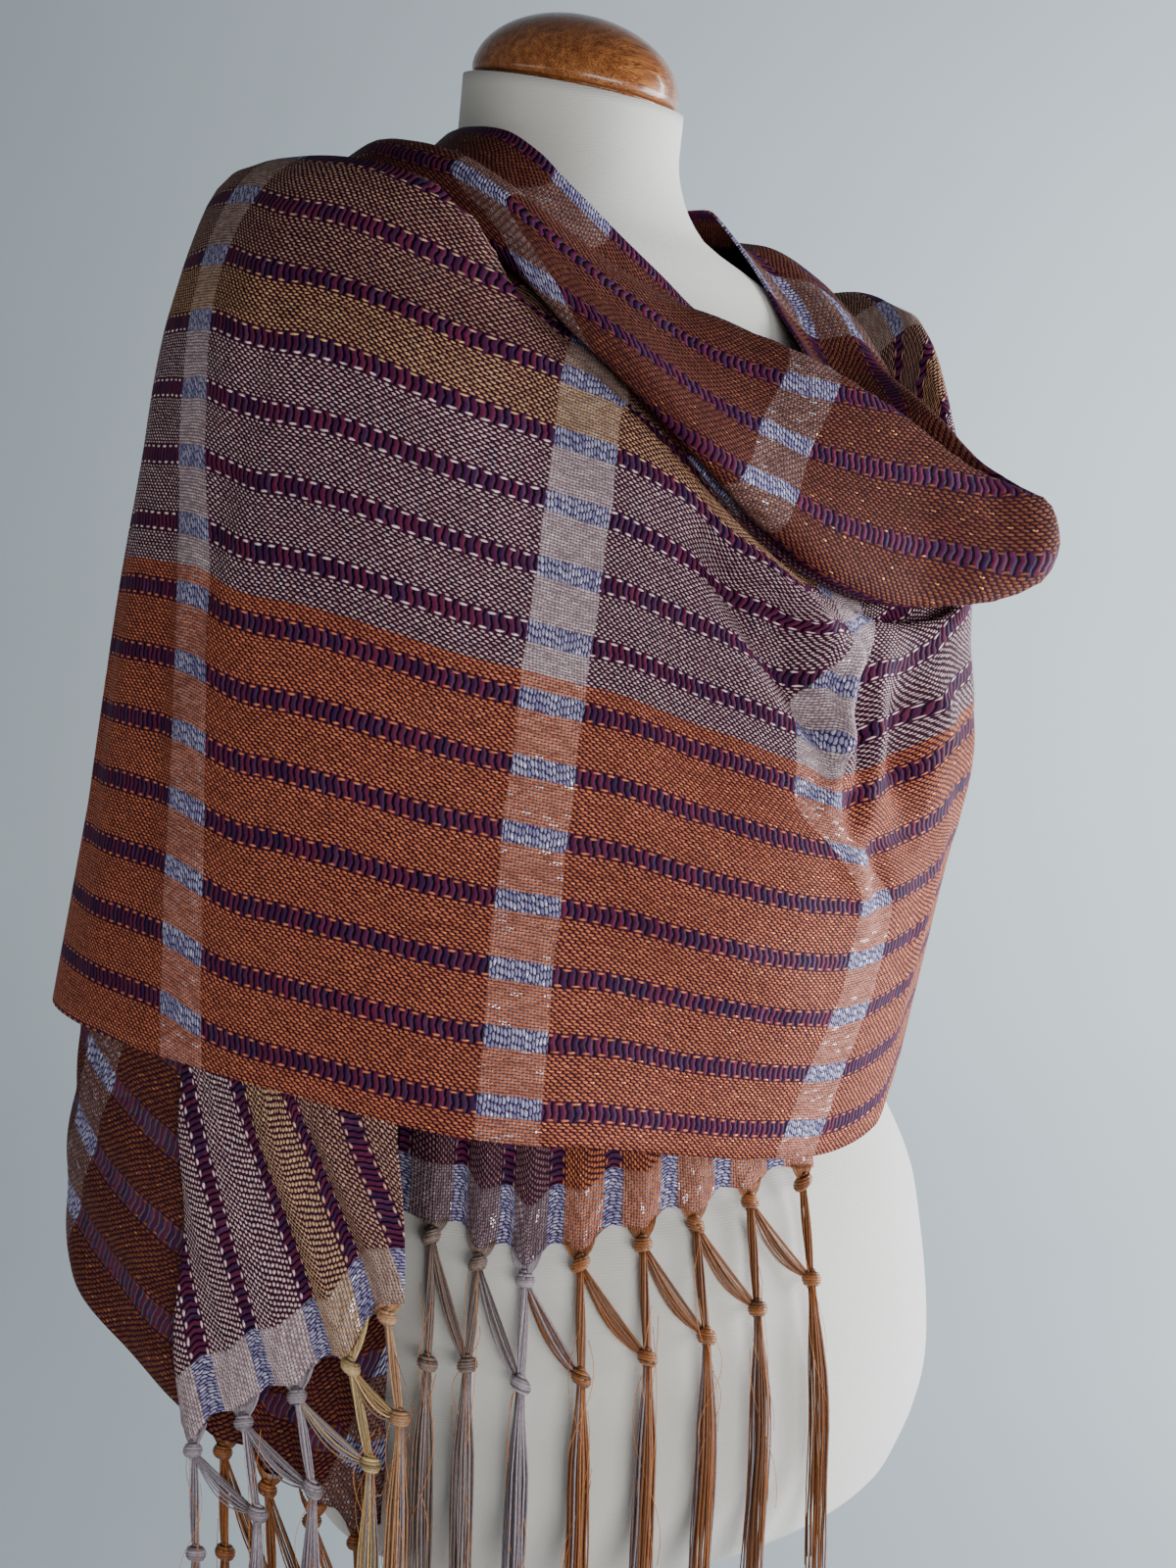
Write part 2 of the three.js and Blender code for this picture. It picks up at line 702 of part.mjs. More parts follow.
const part = new THREE.Group();
function add(name, geometry, colour, roughness) {
  const mesh = new THREE.Mesh(
    geometry,
    new THREE.MeshStandardMaterial({ color: colour, roughness, metalness: 0 }),
  );
  mesh.name = name;
  part.add(mesh);
}

add("stand_base", standBase, CHERRY, 0.35);
add("stand_pole", standPole, CHERRY, 0.35);
add("form_body", formBody, JERSEY, 0.9);
add("neck_cap", neckCap, CHERRY, 0.3);
const frontStretch = [FRONT_FROM + SEAM_ANGLE, FRONT_TO - SEAM_ANGLE];
const backStretch = [FRONT_TO + SEAM_ANGLE, FRONT_FROM + 360 - SEAM_ANGLE];
add("wrap_front", stretch(wrapSection, ...frontStretch, 36, 15), COPPER, 0.9);
add("wrap_back", stretch(wrapSection, ...backStretch, 16, 15), COPPER, 0.9);
add("collar_front", stretch(collarSection, ...frontStretch, 38, 13), COPPER, 0.9);
add("collar_back", stretch(collarSection, ...backStretch, 14, 13), COPPER, 0.9);
add("front_end", hanging(FRONT_LINE, frontReach, 5), LILAC, 0.9);
add("side_flap", hanging(FLAP_LINE, flapReach, 8), LILAC, 0.9);
add("side_drop", hanging(DROP_LINE, dropReach, 8), COPPER, 0.9);
add("front_fringe", fringe(FRONT_KNOTS, FRONT_LINE, frontFringeReach, EDGE_GAP), COPPER, 0.8);
add("flap_fringe", fringe(FLAP_KNOTS, FLAP_LINE, flapFringeReach, STEEP_GAP), LILAC, 0.8);
add(
  "drop_fringe",
  fringe(DROP_KNOTS, DROP_END, dropFringeReach, STEEP_GAP),
  COPPER,
  0.8,
);

export default part;
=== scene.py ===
# A hand-woven wrap with knotted fringes, worn round the shoulders of a limbless dress form.
# The tables are in millimetres and degrees round the upright; meshes are made in metres.
# +Z is up and the form faces -Y.
from functools import partialmethod
import bmesh
import bpy
import numpy as np
from mathutils import Matrix


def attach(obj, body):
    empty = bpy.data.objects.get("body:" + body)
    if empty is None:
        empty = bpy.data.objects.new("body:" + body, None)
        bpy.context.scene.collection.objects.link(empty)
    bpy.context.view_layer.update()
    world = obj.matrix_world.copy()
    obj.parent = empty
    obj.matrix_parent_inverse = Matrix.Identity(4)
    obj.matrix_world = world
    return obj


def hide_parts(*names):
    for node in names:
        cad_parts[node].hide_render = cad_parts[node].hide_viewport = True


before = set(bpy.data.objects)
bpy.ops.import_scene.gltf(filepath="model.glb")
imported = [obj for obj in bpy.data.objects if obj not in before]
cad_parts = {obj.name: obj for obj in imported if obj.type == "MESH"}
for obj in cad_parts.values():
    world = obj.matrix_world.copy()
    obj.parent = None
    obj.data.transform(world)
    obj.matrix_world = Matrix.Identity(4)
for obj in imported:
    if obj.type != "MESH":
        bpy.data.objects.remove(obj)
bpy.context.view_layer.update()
MM = 0.001


# The camera stands level with the shawl's middle, off the form's right front, looking a
# little down and leaning two degrees.
pitch = np.radians(4.5)
roll = np.radians(2.0)
level = np.array([0.7071, -0.7071, 0.0])
ahead = np.array([0.7071, 0.7071, 0.0])
above = np.array([0.0, 0.0, 1.0])
look = ahead * np.cos(pitch) - above * np.sin(pitch)
straight = above * np.cos(pitch) + ahead * np.sin(pitch)
right = level * np.cos(roll) + straight * np.sin(roll)
upward = straight * np.cos(roll) - level * np.sin(roll)
camera_data = bpy.data.cameras.new("view")
camera_data.lens = 44.1
camera_data.sensor_width = 36.0
camera_data.clip_end = 20.0
camera = bpy.data.objects.new("view", camera_data)
bpy.context.scene.collection.objects.link(camera)
placed = np.eye(4)
placed[:3, 0] = right
placed[:3, 1] = upward
placed[:3, 2] = -look
placed[:3, 3] = (-0.7085, -0.7057, 0.722)
camera.matrix_world = Matrix(placed.tolist())
bpy.context.scene.camera = camera


# Light comes from a large window-like panel low on the camera's right. Weaker panels in front
# and on the left fill the shadows, and one more washes the wall.
def panel(name, place, towards, size, watts, tint):
    data = bpy.data.lights.new(name, "AREA")
    data.shape = "RECTANGLE"
    data.size, data.size_y = size
    data.energy = watts
    data.color = tint
    light = bpy.data.objects.new(name, data)
    bpy.context.scene.collection.objects.link(light)
    back = np.array(place, float) - np.array(towards, float)
    back /= np.linalg.norm(back)
    side = np.cross((0, 0, 1), back)
    side /= np.linalg.norm(side)
    turned = np.eye(4)
    turned[:3, 0] = side
    turned[:3, 1] = np.cross(back, side)
    turned[:3, 2] = back
    turned[:3, 3] = place
    light.matrix_world = Matrix(turned.tolist())


panel("window", (1.45, -0.98, 0.54), (0, 0, 0.62), (1.2, 1.0), 54, (0.93, 0.97, 1.0))
panel("room", (-0.5, -1.9, 0.28), (0, 0, 0.6), (1.6, 0.6), 23, (1.0, 0.985, 0.97))
panel("left_fill", (-1.6, 0.3, 0.25), (0, 0, 0.6), (1.2, 0.7), 5, (1.0, 0.96, 0.92))
panel("wall_wash", (2.1, -0.9, 1.3), (2.6, 1.6, 0.8), (1.0, 1.4), 72, (0.93, 0.97, 1.0))
world = bpy.data.worlds.new("room")
world.use_nodes = True
world.node_tree.nodes["Background"].inputs["Color"].default_value = (0.78, 0.84, 0.9, 1)
world.node_tree.nodes["Background"].inputs["Strength"].default_value = 0.14
bpy.context.scene.world = world


# Materials are written as sums over nodes: each call adds one node and gives its output.
class Shade:
    def __init__(self, name):
        self.material = bpy.data.materials.new(name)
        self.material.use_nodes = True
        self.tree = self.material.node_tree
        self.tree.nodes.clear()

    def node(self, kind, sockets=None, **settings):
        made = self.tree.nodes.new(kind)
        for key, value in settings.items():
            setattr(made, key, value)
        for key, value in (sockets or {}).items():
            if isinstance(value, bpy.types.NodeSocket):
                self.tree.links.new(value, made.inputs[key])
            else:
                made.inputs[key].default_value = value
        return made

    def math(self, operation, *values):
        return self.node("ShaderNodeMath", dict(enumerate(values)), operation=operation).outputs[0]

    plus = partialmethod(math, "ADD")
    minus = partialmethod(math, "SUBTRACT")
    times = partialmethod(math, "MULTIPLY")
    over = partialmethod(math, "DIVIDE")
    scaled = partialmethod(math, "MULTIPLY_ADD")
    whole = partialmethod(math, "ROUND")

    def step(self, value, low, high, start=0.0, end=1.0):
        """Rises smoothly from start to end as the value goes from low to high."""
        sockets = {"Value": value, "From Min": low, "From Max": high, "To Min": start, "To Max": end}
        return self.node("ShaderNodeMapRange", sockets, interpolation_type="SMOOTHSTEP").outputs[0]

    def mix(self, share, first, second, blend="MIX"):
        made = self.node("ShaderNodeMix", data_type="RGBA", blend_type=blend)
        for place, value in ((0, share), (6, first), (7, second)):
            socket = made.inputs[place]
            if isinstance(value, bpy.types.NodeSocket):
                self.tree.links.new(value, socket)
            else:
                socket.default_value = value
        return made.outputs[2]

    def noise(self, vector, scale, detail=2.0):
        sockets = {"Vector": vector, "Scale": scale, "Detail": detail}
        return self.node("ShaderNodeTexNoise", sockets).outputs[0]

    def luck(self, vector):
        sockets = {"Vector": vector}
        return self.node("ShaderNodeTexWhiteNoise", sockets, noise_dimensions="2D").outputs[0]

    def ramp(self, value, stops, kind="LINEAR"):
        made = self.node("ShaderNodeValToRGB", {"Fac": value})
        made.color_ramp.interpolation = kind
        while len(made.color_ramp.elements) < len(stops):
            made.color_ramp.elements.new(0.5)
        for element, (place, tint) in zip(made.color_ramp.elements, stops):
            element.position = place
            element.color = tint
        return made.outputs

    def join(self, x, y, z=0.0):
        return self.node("ShaderNodeCombineXYZ", {"X": x, "Y": y, "Z": z}).outputs[0]

    def finish(self, sockets, height=None, depth=0.0005, strength=1.0):
        if height is not None:
            bump = {"Height": height, "Distance": depth, "Strength": strength}
            sockets["Normal"] = self.node("ShaderNodeBump", bump).outputs[0]
        body = self.node("ShaderNodeBsdfPrincipled", sockets)
        self.node("ShaderNodeOutputMaterial", {"Surface": body.outputs[0]})
        return self.material


def tint(code, gain=1.0):
    """The linear colour of an sRGB code such as b06a3c."""
    rgb = np.array([int(code[i : i + 2], 16) for i in (0, 2, 4)]) / 255
    linear = np.where(rgb <= 0.04045, rgb / 12.92, ((rgb + 0.055) / 1.055) ** 2.4) * gain
    return (*np.clip(linear, 0, 1).tolist(), 1.0)


# The floor and the wall are one pale sheet of matt paint, which curves up behind the form so
# that no corner shows.
run = np.linspace(-3.2, 4.2, 60)
rise = np.where(run > 1.1, 3.6 * np.clip((run - 1.1) / 3.1, 0, 1) ** 2.2 * 2.2, 0.0)
depth = np.where(run > 1.1, 1.1 + 1.9 * (1 - np.exp(-(run - 1.1) / 1.1)), run)
wide = np.linspace(-5, 5, 12)
spots = [
    tuple(level * w + ahead * d + above * h) for d, h in zip(depth, rise) for w in wide
]
faces = [
    (i * 12 + j, i * 12 + j + 1, (i + 1) * 12 + j + 1, (i + 1) * 12 + j)
    for i in range(59)
    for j in range(11)
]
floor_mesh = bpy.data.meshes.new("floor")
floor_mesh.from_pydata([tuple(float(x) for x in s) for s in spots], [], faces)
floor_mesh.shade_smooth()
floor = bpy.data.objects.new("floor", floor_mesh)
bpy.context.scene.collection.objects.link(floor)
paint = Shade("wall_paint")
place = paint.node("ShaderNodeTexCoord").outputs["Object"]
speckle = paint.noise(place, 3.0)
floor_mesh.materials.append(
    paint.finish(
        {
            "Base Color": paint.mix(speckle, tint("c3ccd2"), tint("c9d2d8")),
            "Roughness": 0.9,
        }
    )
)


# Curves through short tables: smooth never overshoots the rows it goes through.
def table(heading, rows):
    return dict(zip(heading.split(), np.array(rows, float).T))


def smooth(xs, ys, at, period=0.0):
    if period:
        xs = np.concatenate([[xs[-1] - period], xs, [xs[0] + period, xs[1] + period]])
        ys = np.concatenate([[ys[-1]], ys, [ys[0], ys[1]]])
        at = (at - xs[1]) % period + xs[1]
    at = np.clip(at, xs[0], xs[-1])
    width = np.diff(xs)
    slope = np.diff(ys) / width
    same = slope[:-1] * slope[1:] > 0
    total = np.where(same, slope[:-1] + slope[1:], 1.0)
    inner = np.where(same, 2 * slope[:-1] * slope[1:] / total, 0.0)
    tangent = np.concatenate([[slope[0]], inner, [slope[-1]]])
    i = np.clip(np.searchsorted(xs, at) - 1, 0, len(xs) - 2)
    t = (at - xs[i]) / width[i]
    bend = t * t * (3 - 2 * t)
    swing = width[i] * t * (1 - t) * (tangent[i] * (1 - t) - tangent[i + 1] * t)
    return ys[i] * (1 - bend) + ys[i + 1] * bend + swing


def columns(rows, key, at, period=0.0):
    return {name: smooth(rows[key], rows[name], at, period) for name in rows}


def ease(value, low, high):
    t = np.clip((value - low) / (high - low), 0, 1)
    return t * t * (3 - 2 * t)


def shown(name, points, closed=False, poles=False, thick=0.0, levels=0, **maps):
    """An object from a grid of points in millimetres, with a value in metres to each point for
    every named map. The grid's first direction crossed with its second points outward."""
    rows, cols = points.shape[:2]
    span = rows if closed else rows - 1
    i, j = np.meshgrid(np.arange(span), np.arange(cols - 1), indexing="ij")
    k = (i + 1) % rows
    quads = np.stack([i * cols + j, k * cols + j, k * cols + j + 1, i * cols + j + 1], -1)
    mesh = bpy.data.meshes.new(name)
    mesh.from_pydata((points.reshape(-1, 3) * MM).tolist(), [], quads.reshape(-1, 4).tolist())
    mesh.shade_smooth()
    if "flat" in maps:
        flat = maps.pop("flat")
        # the last ring of quads runs on past the first row's own place
        wide = np.concatenate([flat, flat[:1] + [maps.pop("turn"), 0]]) if closed else flat
        corner = np.stack([wide[i, j], wide[i + 1, j], wide[i + 1, j + 1], wide[i, j + 1]], 2)
        layer = mesh.uv_layers.new(name="flat")
        layer.data.foreach_set("uv", corner.astype(np.float32).ravel())
    for key, values in maps.items():
        layer = mesh.attributes.new(key, "FLOAT", "POINT")
        layer.data.foreach_set("value", values.astype(np.float32).ravel())
    if poles:
        whole = bmesh.new()
        whole.from_mesh(mesh)
        bmesh.ops.remove_doubles(whole, verts=whole.verts, dist=1e-6)
        whole.to_mesh(mesh)
        whole.free()
    made = bpy.data.objects.new(name, mesh)
    bpy.context.scene.collection.objects.link(made)
    if levels:
        rounded = made.modifiers.new("rounded", "SUBSURF")
        rounded.levels = rounded.render_levels = levels
    if thick:
        body = made.modifiers.new("body", "SOLIDIFY")
        body.thickness = thick * MM
        body.offset = -1
    return made


# The dress form is a padded torso without limbs under pale cotton jersey, which is drawn tight,
# seamed a little above the rim and closed underneath. Height by height it is a half-ellipse in
# front and another behind, and its neck leans forward.
FORM = table("height half front back middle", [
    [0, 150, 104, 100, -34], [18, 172, 128, 118, -34], [70, 186, 142, 128, -34],
    [150, 180, 136, 122, -30], [270, 134, 102, 92, -14], [340, 138, 112, 94, -6],
    [430, 152, 138, 102, 4], [500, 164, 120, 106, 12], [560, 182, 98, 102, 22],
    [600, 188, 80, 88, 28], [625, 144, 72, 80, 32], [645, 84, 62, 68, 34],
    [665, 65, 59, 60, 35], [690, 58, 57, 58, 33], [714, 58, 57, 57, 31],
])
FORM_FLOOR = 285.0


def form_reach(z, degrees):
    row = columns(FORM, "height", z - FORM_FLOOR)
    ux = np.cos(np.radians(degrees))
    uy = np.sin(np.radians(degrees))
    reach = np.zeros(np.broadcast(z, degrees).shape)
    for side in ("front", "back"):
        a = (ux / row["half"]) ** 2 + (uy / row[side]) ** 2
        b = -2 * uy * row["middle"] / row[side] ** 2
        c = (row["middle"] / row[side]) ** 2 - 1
        r = (-b + np.sqrt(np.maximum(0, b * b - 4 * a * c))) / (2 * a)
        front = r * uy < row["middle"]
        reach = np.where(front == (side == "front"), np.maximum(reach, r), reach)
    return reach


height = np.concatenate([np.linspace(0, 20, 8)[:-1], np.linspace(20, 714, 110)])[None, :]
turn = np.linspace(0, 2 * np.pi, 144, endpoint=False)[:, None]
row = columns(FORM, "height", height)
forward = np.where(np.sin(turn) < 0, row["front"], row["back"]) * np.sin(turn)
lean = forward * np.tan(np.radians(12.5)) * np.maximum(0, (height - 665) / 49)
seam = np.exp(-(((height - 41 - 4 * np.sin(turn)) / 1.3) ** 2))
grow = 1 + 0.0035 * seam
body = np.stack(
    [row["half"] * np.cos(turn) * grow, forward * grow + row["middle"], FORM_FLOOR + height + lean], -1
)
under = np.array([0.0, -34.0, FORM_FLOOR])
rim = body[:, :1]
bottom = under + (rim - under) * np.array([0, 0.35, 0.7, 0.94])[None, :, None]
top = body[:, -1:]
crown = np.array([0.0, 31.0, FORM_FLOOR + 714])
lid = crown + (top - crown) * np.array([0.9, 0.5, 0])[None, :, None]
jersey = shown("jersey_cover", np.concatenate([bottom, body, lid], axis=1), closed=True, poles=True)
knit = Shade("jersey")
place = knit.node("ShaderNodeTexCoord").outputs["Object"]
turned = knit.node("ShaderNodeSeparateXYZ", {"Vector": place})
wale = knit.math("SINE", knit.times(turned.outputs[2], 5200.0))
grain = knit.noise(place, 900.0, 3.0)
stain = knit.noise(place, 9.0, 3.0)
knit_height = knit.scaled(grain, 0.8, knit.times(wale, 0.25))
jersey.data.materials.append(
    knit.finish(
        {
            "Base Color": knit.mix(stain, tint("e2dfd6"), tint("efede7")),
            "Roughness": 0.85,
            "Sheen Weight": 0.15,
        },
        knit_height, 0.0003, 0.5,
    )
)
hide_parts("form_body")
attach(jersey, "root")


# The turned wood: an orange-brown varnished cap sits on the neck over a thin dark gap, and the
# pole and foot are of the same wood. Each is a profile carried round its own axis.
def turned_wood(name, centre, tilt, profile, steps=96):
    angle = np.linspace(0, 2 * np.pi, steps, endpoint=False)[:, None]
    r = np.array([p[0] for p in profile], float)[None, :]
    z = np.array([p[1] for p in profile], float)[None, :] + 0 * angle
    x = r * np.cos(angle)
    y = r * np.sin(angle)
    c, s = np.cos(np.radians(tilt)), np.sin(np.radians(tilt))
    points = np.stack([x, y * c - z * s, y * s + z * c], -1) + np.array(centre, float)
    return shown(name, points, closed=True, poles=True)


wood = Shade("varnished_wood")
place = wood.node("ShaderNodeTexCoord").outputs["Object"]
stretched = wood.node("ShaderNodeMapping", {"Vector": place, "Scale": (1.0, 7.0, 7.0)}).outputs[0]
rings = wood.noise(stretched, 42.0, 4.0)
fine_lines = wood.node("ShaderNodeMapping", {"Vector": place, "Scale": (1, 30, 30)}).outputs[0]
pores = wood.noise(fine_lines, 60.0)
grain = wood.ramp(rings, [(0.3, tint("7c4822")), (0.5, tint("aa6634")), (0.7, tint("c88449"))])[0]
varnish = wood.finish(
    {
        "Base Color": wood.mix(wood.step(pores, 0.35, 0.55), tint("5f2c0e"), grain),
        "Roughness": 0.3,
        "Coat Weight": 0.6,
        "Coat Roughness": 0.12,
    },
    pores, 0.0002, 0.3,
)
arc = np.linspace(0, np.pi / 2, 24)
cap_profile = [
    (0, 0.3), (20, 0.3), (47.8, 0.3), (48.4, 0.8), (48.5, 2.0), (48.6, 2.5), (52.6, 2.5), (54, 3.0),
]
cap_profile += [(54.5 * np.cos(a), 4.0 + 35.5 * np.sin(a)) for a in arc[1:-1]]
cap_profile += [(0, 39.5)]
cap = turned_wood("cap", (0, 31, FORM_FLOOR + 714), 12.5, cap_profile)
foot = turned_wood("foot", (0, 0, 0), 0, [
    (0, 0), (100, 0), (146, 0), (148.5, 0.6), (150, 2.2), (150, 8), (149.6, 13), (147.5, 17),
    (144, 19.6), (120, 20.0), (60, 20.0), (31, 20.2), (26, 22), (23.8, 26), (22.6, 32), (22, 36),
    (21.2, 37.6), (19.5, 38), (0, 38),
])
pole = turned_wood("pole", (0, 0, 0), 0, [
    (0, 38.3), (13.5, 38.3), (15, 39.8), (15, 90), (15, 160), (15, 230), (15, 283), (14, 284.7),
    (0, 284.7),
], 48)
for piece, node in ((cap, "neck_cap"), (foot, "stand_base"), (pole, "stand_pole")):
    piece.data.materials.append(varnish)
    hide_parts(node)
    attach(piece, "root")


# The cloth is a coarse plain weave. Groups of light warp ends lie 30 mm apart, with open ladders
# of dark weft between them, and pale glittering weft makes a band across.
CLOTH_WIDTH = 0.63
GROUP = 0.03
END = 0.00137
PICK = 0.00141


def woven(name, stops, slot=tint("0e0610")):
    """Each warp end i passes over the weft at every other pick, i even and odd in turn, as a bead
    1 - (along / half length)^2 - (across / half width)^2, leaning a little as its twist does."""
    w = Shade(name)
    flat = w.node("ShaderNodeUVMap", uv_map="flat").outputs[0]
    sway = w.minus(w.noise(flat, 34.0, 2.0), 0.5)
    shake = w.minus(w.noise(flat, 460.0, 1.0), 0.5)
    split = w.node("ShaderNodeSeparateXYZ", {"Vector": flat})
    drift = w.scaled(sway, 0.0034, w.times(shake, 0.0009))
    along = w.plus(split.outputs[0], drift)
    across = w.plus(split.outputs[1], w.times(drift, 0.7))
    band = w.node("ShaderNodeAttribute", attribute_name="band").outputs["Fac"]
    band = w.scaled(sway, 0.003, band)
    pale = w.step(w.math("ABSOLUTE", band), 0.0125, 0.0135, 1.0, 0.0)
    # the ladder between two groups: its distance, and the ends counted from a group's middle
    moved = w.plus(across, 0.003)
    lane = w.math("PINGPONG", moved, GROUP / 2)
    sided = w.math("SIGN", w.minus(0.5, w.math("FRACT", w.over(moved, GROUP))))
    close = w.math("MINIMUM", w.over(w.minus(GROUP / 2, lane), END), 7.5)
    loose = w.plus(w.over(w.minus(0.0036, lane), 0.0015), 8.0)
    loose = w.times(loose, w.math("LESS_THAN", lane, 0.0047))
    end = w.scaled(shake, 0.12, w.math("MAXIMUM", close, loose))
    bound = w.step(end, 8.5, 8.62, 1.0, 0.0)
    row = w.whole(end)
    beside = w.times(w.minus(end, row), w.times(sided, -1.0))
    pick = w.over(along, PICK)
    pair = w.times(w.minus(pick, row), 0.5)
    before = w.minus(pair, w.whole(pair))
    # yarn by yarn: the warp streaks lengthways, the weft is variegated plum, navy and wine
    cell = w.join(w.whole(pair), w.whole(w.over(across, END)))
    speck = w.luck(cell)
    lengths = w.join(w.times(along, 22.0), w.over(across, 0.0021))
    streak = w.noise(lengths, 1.0, 2.0)
    widths = w.join(w.times(pick, 0.42), w.times(across, 60.0))
    shot = w.noise(widths, 1.0, 2.0)
    patch = w.noise(flat, 13.0, 3.0)
    stripes = [(start / CLOTH_WIDTH, (*shade[:3], full)) for start, shade, full in stops]
    dyed, fullness = w.ramp(w.over(across, CLOTH_WIDTH), stripes, "CONSTANT")

    def squared(value, half):
        share = w.over(value, half)
        return w.times(share, share)

    def blend(share, first, second):
        return w.node("ShaderNodeMix", {0: share, 2: first, 3: second}, data_type="FLOAT").outputs[0]

    tilted = w.scaled(before, 0.42, beside)
    bead = w.minus(fullness, w.plus(squared(before, 0.45), squared(tilted, 0.53)))
    bead = w.scaled(shake, 0.5, bead)
    # the loose end beside a ladder floats over a pair of picks and under the next pair
    fours = w.scaled(sway, 0.6, w.times(pick, 0.25))
    fours = w.scaled(sided, 0.22, fours)
    apart = w.minus(fours, w.whole(fours))
    loose_end = w.step(end, 7.48, 7.56)
    float_bead = w.minus(0.95, w.plus(squared(apart, 0.29), squared(beside, 0.46)))
    bead = blend(loose_end, bead, float_bead)
    crown = w.times(w.math("SQRT", w.math("MAXIMUM", bead, 0.0)), bound)
    warp = w.times(w.step(bead, -0.1, 0.22), bound)
    # the warp's brightness: streaks, specks and patches of tone at random, painted shade that darkens
    # each bead towards its edges where it dips under the weft, and a little lighter on the loose end
    light = w.scaled(streak, 0.5, w.scaled(speck, 0.5, 0.42))
    light = w.times(light, w.scaled(patch, 0.4, 0.85))
    light = w.times(light, w.scaled(crown, 0.95, 0.42))
    light = w.times(light, w.scaled(loose_end, 0.12, 1.0))
    warp_tint = w.mix(1.0, dyed, w.join(light, light, light), "MULTIPLY")
    weft_shades = [
        (0.25, tint("3a1a48")), (0.42, tint("581a42")), (0.55, tint("6c2246")), (0.68, tint("40204a")),
        (0.85, tint("7c345e")),
    ]
    weft_tint = w.ramp(shot, weft_shades)[0]
    # between the beads the weft shows in the shadow of the warp
    gap = w.mix(0.9, w.mix(1.0, dyed, (0.25, 0.2, 0.2, 1), "MULTIPLY"), weft_tint)
    gap = w.mix(1.0, gap, (0.4, 0.28, 0.4, 1), "MULTIPLY")
    # in the ladders pairs of picks stand as bars across the open slot; the slot between the bars is
    # painted in the slot colour, by default near-black painted shade for the dark behind the cloth
    wander = w.math("SINE", w.times(across, 900.0))
    twos = w.scaled(wander, 0.1, w.times(pick, 0.5))
    bar_row = w.whole(twos)
    beyond = w.minus(twos, bar_row)
    bar = w.minus(1.0, squared(beyond, 0.36))
    bar_crown = w.math("SQRT", w.math("MAXIMUM", bar, 0.0))
    chance = w.luck(w.join(bar_row, w.whole(w.over(across, GROUP))))
    dip = w.scaled(chance, 0.42, w.scaled(shot, 0.5, 0.04))
    bar_tint = w.ramp(dip, weft_shades)[0]
    # a painted highlight along one edge of some bars
    bar_highlight = w.step(w.math("ABSOLUTE", w.minus(beyond, 0.16)), 0.02, 0.12, 1.0, 0.0)
    open_tint = w.mix(w.step(bar_crown, 0.0, 0.5), slot, bar_tint)
    bar_highlight = w.times(bar_highlight, w.times(chance, 0.22))
    open_tint = w.mix(bar_highlight, open_tint, tint("74557f"))
    # the pale weft: dots between the warp's beads, and long glittering beads over the ladders
    aside = w.minus(w.math("ABSOLUTE", before), 0.5)
    dot = w.minus(1.0, w.plus(squared(aside, 0.25), squared(beside, 0.55)))
    dots = w.times(w.step(dot, 0.0, 0.4), w.scaled(speck, 0.65, 0.3))
    ones = w.scaled(sway, 1.5, pick)
    one_row = w.whole(ones)
    one_side = w.minus(ones, one_row)
    jump = w.node("ShaderNodeTexWhiteNoise", {"W": one_row}, noise_dimensions="1D").outputs[0]
    long_way = w.plus(jump, w.over(moved, 0.0037))
    long_row = w.whole(long_way)
    lengthways = w.scaled(one_side, 0.3, w.minus(long_way, long_row))
    long_bead = w.plus(squared(one_side, 0.47), squared(lengthways, 0.48))
    long_bead = w.minus(1.0, long_bead)
    long_crown = w.math("SQRT", w.math("MAXIMUM", long_bead, 0.0))
    spark = w.luck(w.join(one_row, long_row))
    gleam = w.scaled(shot, 0.4, w.times(spark, 0.75))
    silver = w.mix(gleam, tint("635a96"), tint("d8d3f2"))
    loose_zone = w.step(end, 7.3, 7.6)
    # between the long beads over a ladder a dark painted shade shows, and between the beads elsewhere
    # in the band the warp is darkened by painted shade
    pale_tint = w.mix(w.step(long_bead, -0.1, 0.35), tint("3c2c50"), silver)
    soft_gap = w.mix(0.06, w.mix(1.0, dyed, (0.3, 0.25, 0.28, 1), "MULTIPLY"), tint("978a9c"))
    banded_gap = w.mix(dots, soft_gap, w.mix(0.42, w.mix(speck, tint("8d84a4"), tint("f0ebf8")), dyed))
    behind = w.times(bound, w.minus(1.0, loose_end))
    plain = w.mix(warp, w.mix(behind, open_tint, gap), warp_tint)
    across_band = w.mix(warp, banded_gap, w.mix(0.05, warp_tint, tint("c9bcc6")))
    across_band = w.mix(loose_zone, across_band, pale_tint)
    colour = w.mix(pale, plain, across_band)

    low = blend(w.math("MAXIMUM", behind, warp), w.scaled(bar_crown, 0.6, -0.5), crown)
    pale_high = blend(loose_zone, w.math("MAXIMUM", crown, dots), w.times(long_crown, 0.8))
    high = blend(pale, low, pale_high)
    # glints: a metallic thread runs with the warp, and more of it with the pale weft
    share = blend(w.times(pale, loose_zone), speck, w.plus(spark, 0.1))
    glint = w.times(w.math("GREATER_THAN", share, 0.965), w.step(high, 0.6, 0.8))
    colour = w.mix(w.times(glint, 0.45), colour, w.mix(pale, tint("f0a25c"), tint("f2f0fc")))
    return w.finish(
        {
            "Base Color": colour,
            "Metallic": w.times(glint, 0.8),
            "Roughness": w.scaled(glint, -0.3, 0.6),
            "Specular IOR Level": 0.08,
        },
        high, 0.0009, 1.0,
    )


# The darker rust, gold and lilac are the stripes' own hues with painted shade: they dye the stripes
# over the shoulder's top and in the collar, and the drop, which lie in shade.
RUST = tint("c8714e")
SHADED_RUST = tint("76442f")
GREY_LILAC = tint("eacdcc")
SHADED_LILAC = tint("7c5f62")
GOLD = tint("cfa274")
PEACH = tint("bd977c")
SHADED_GOLD = tint("7c5a3e")
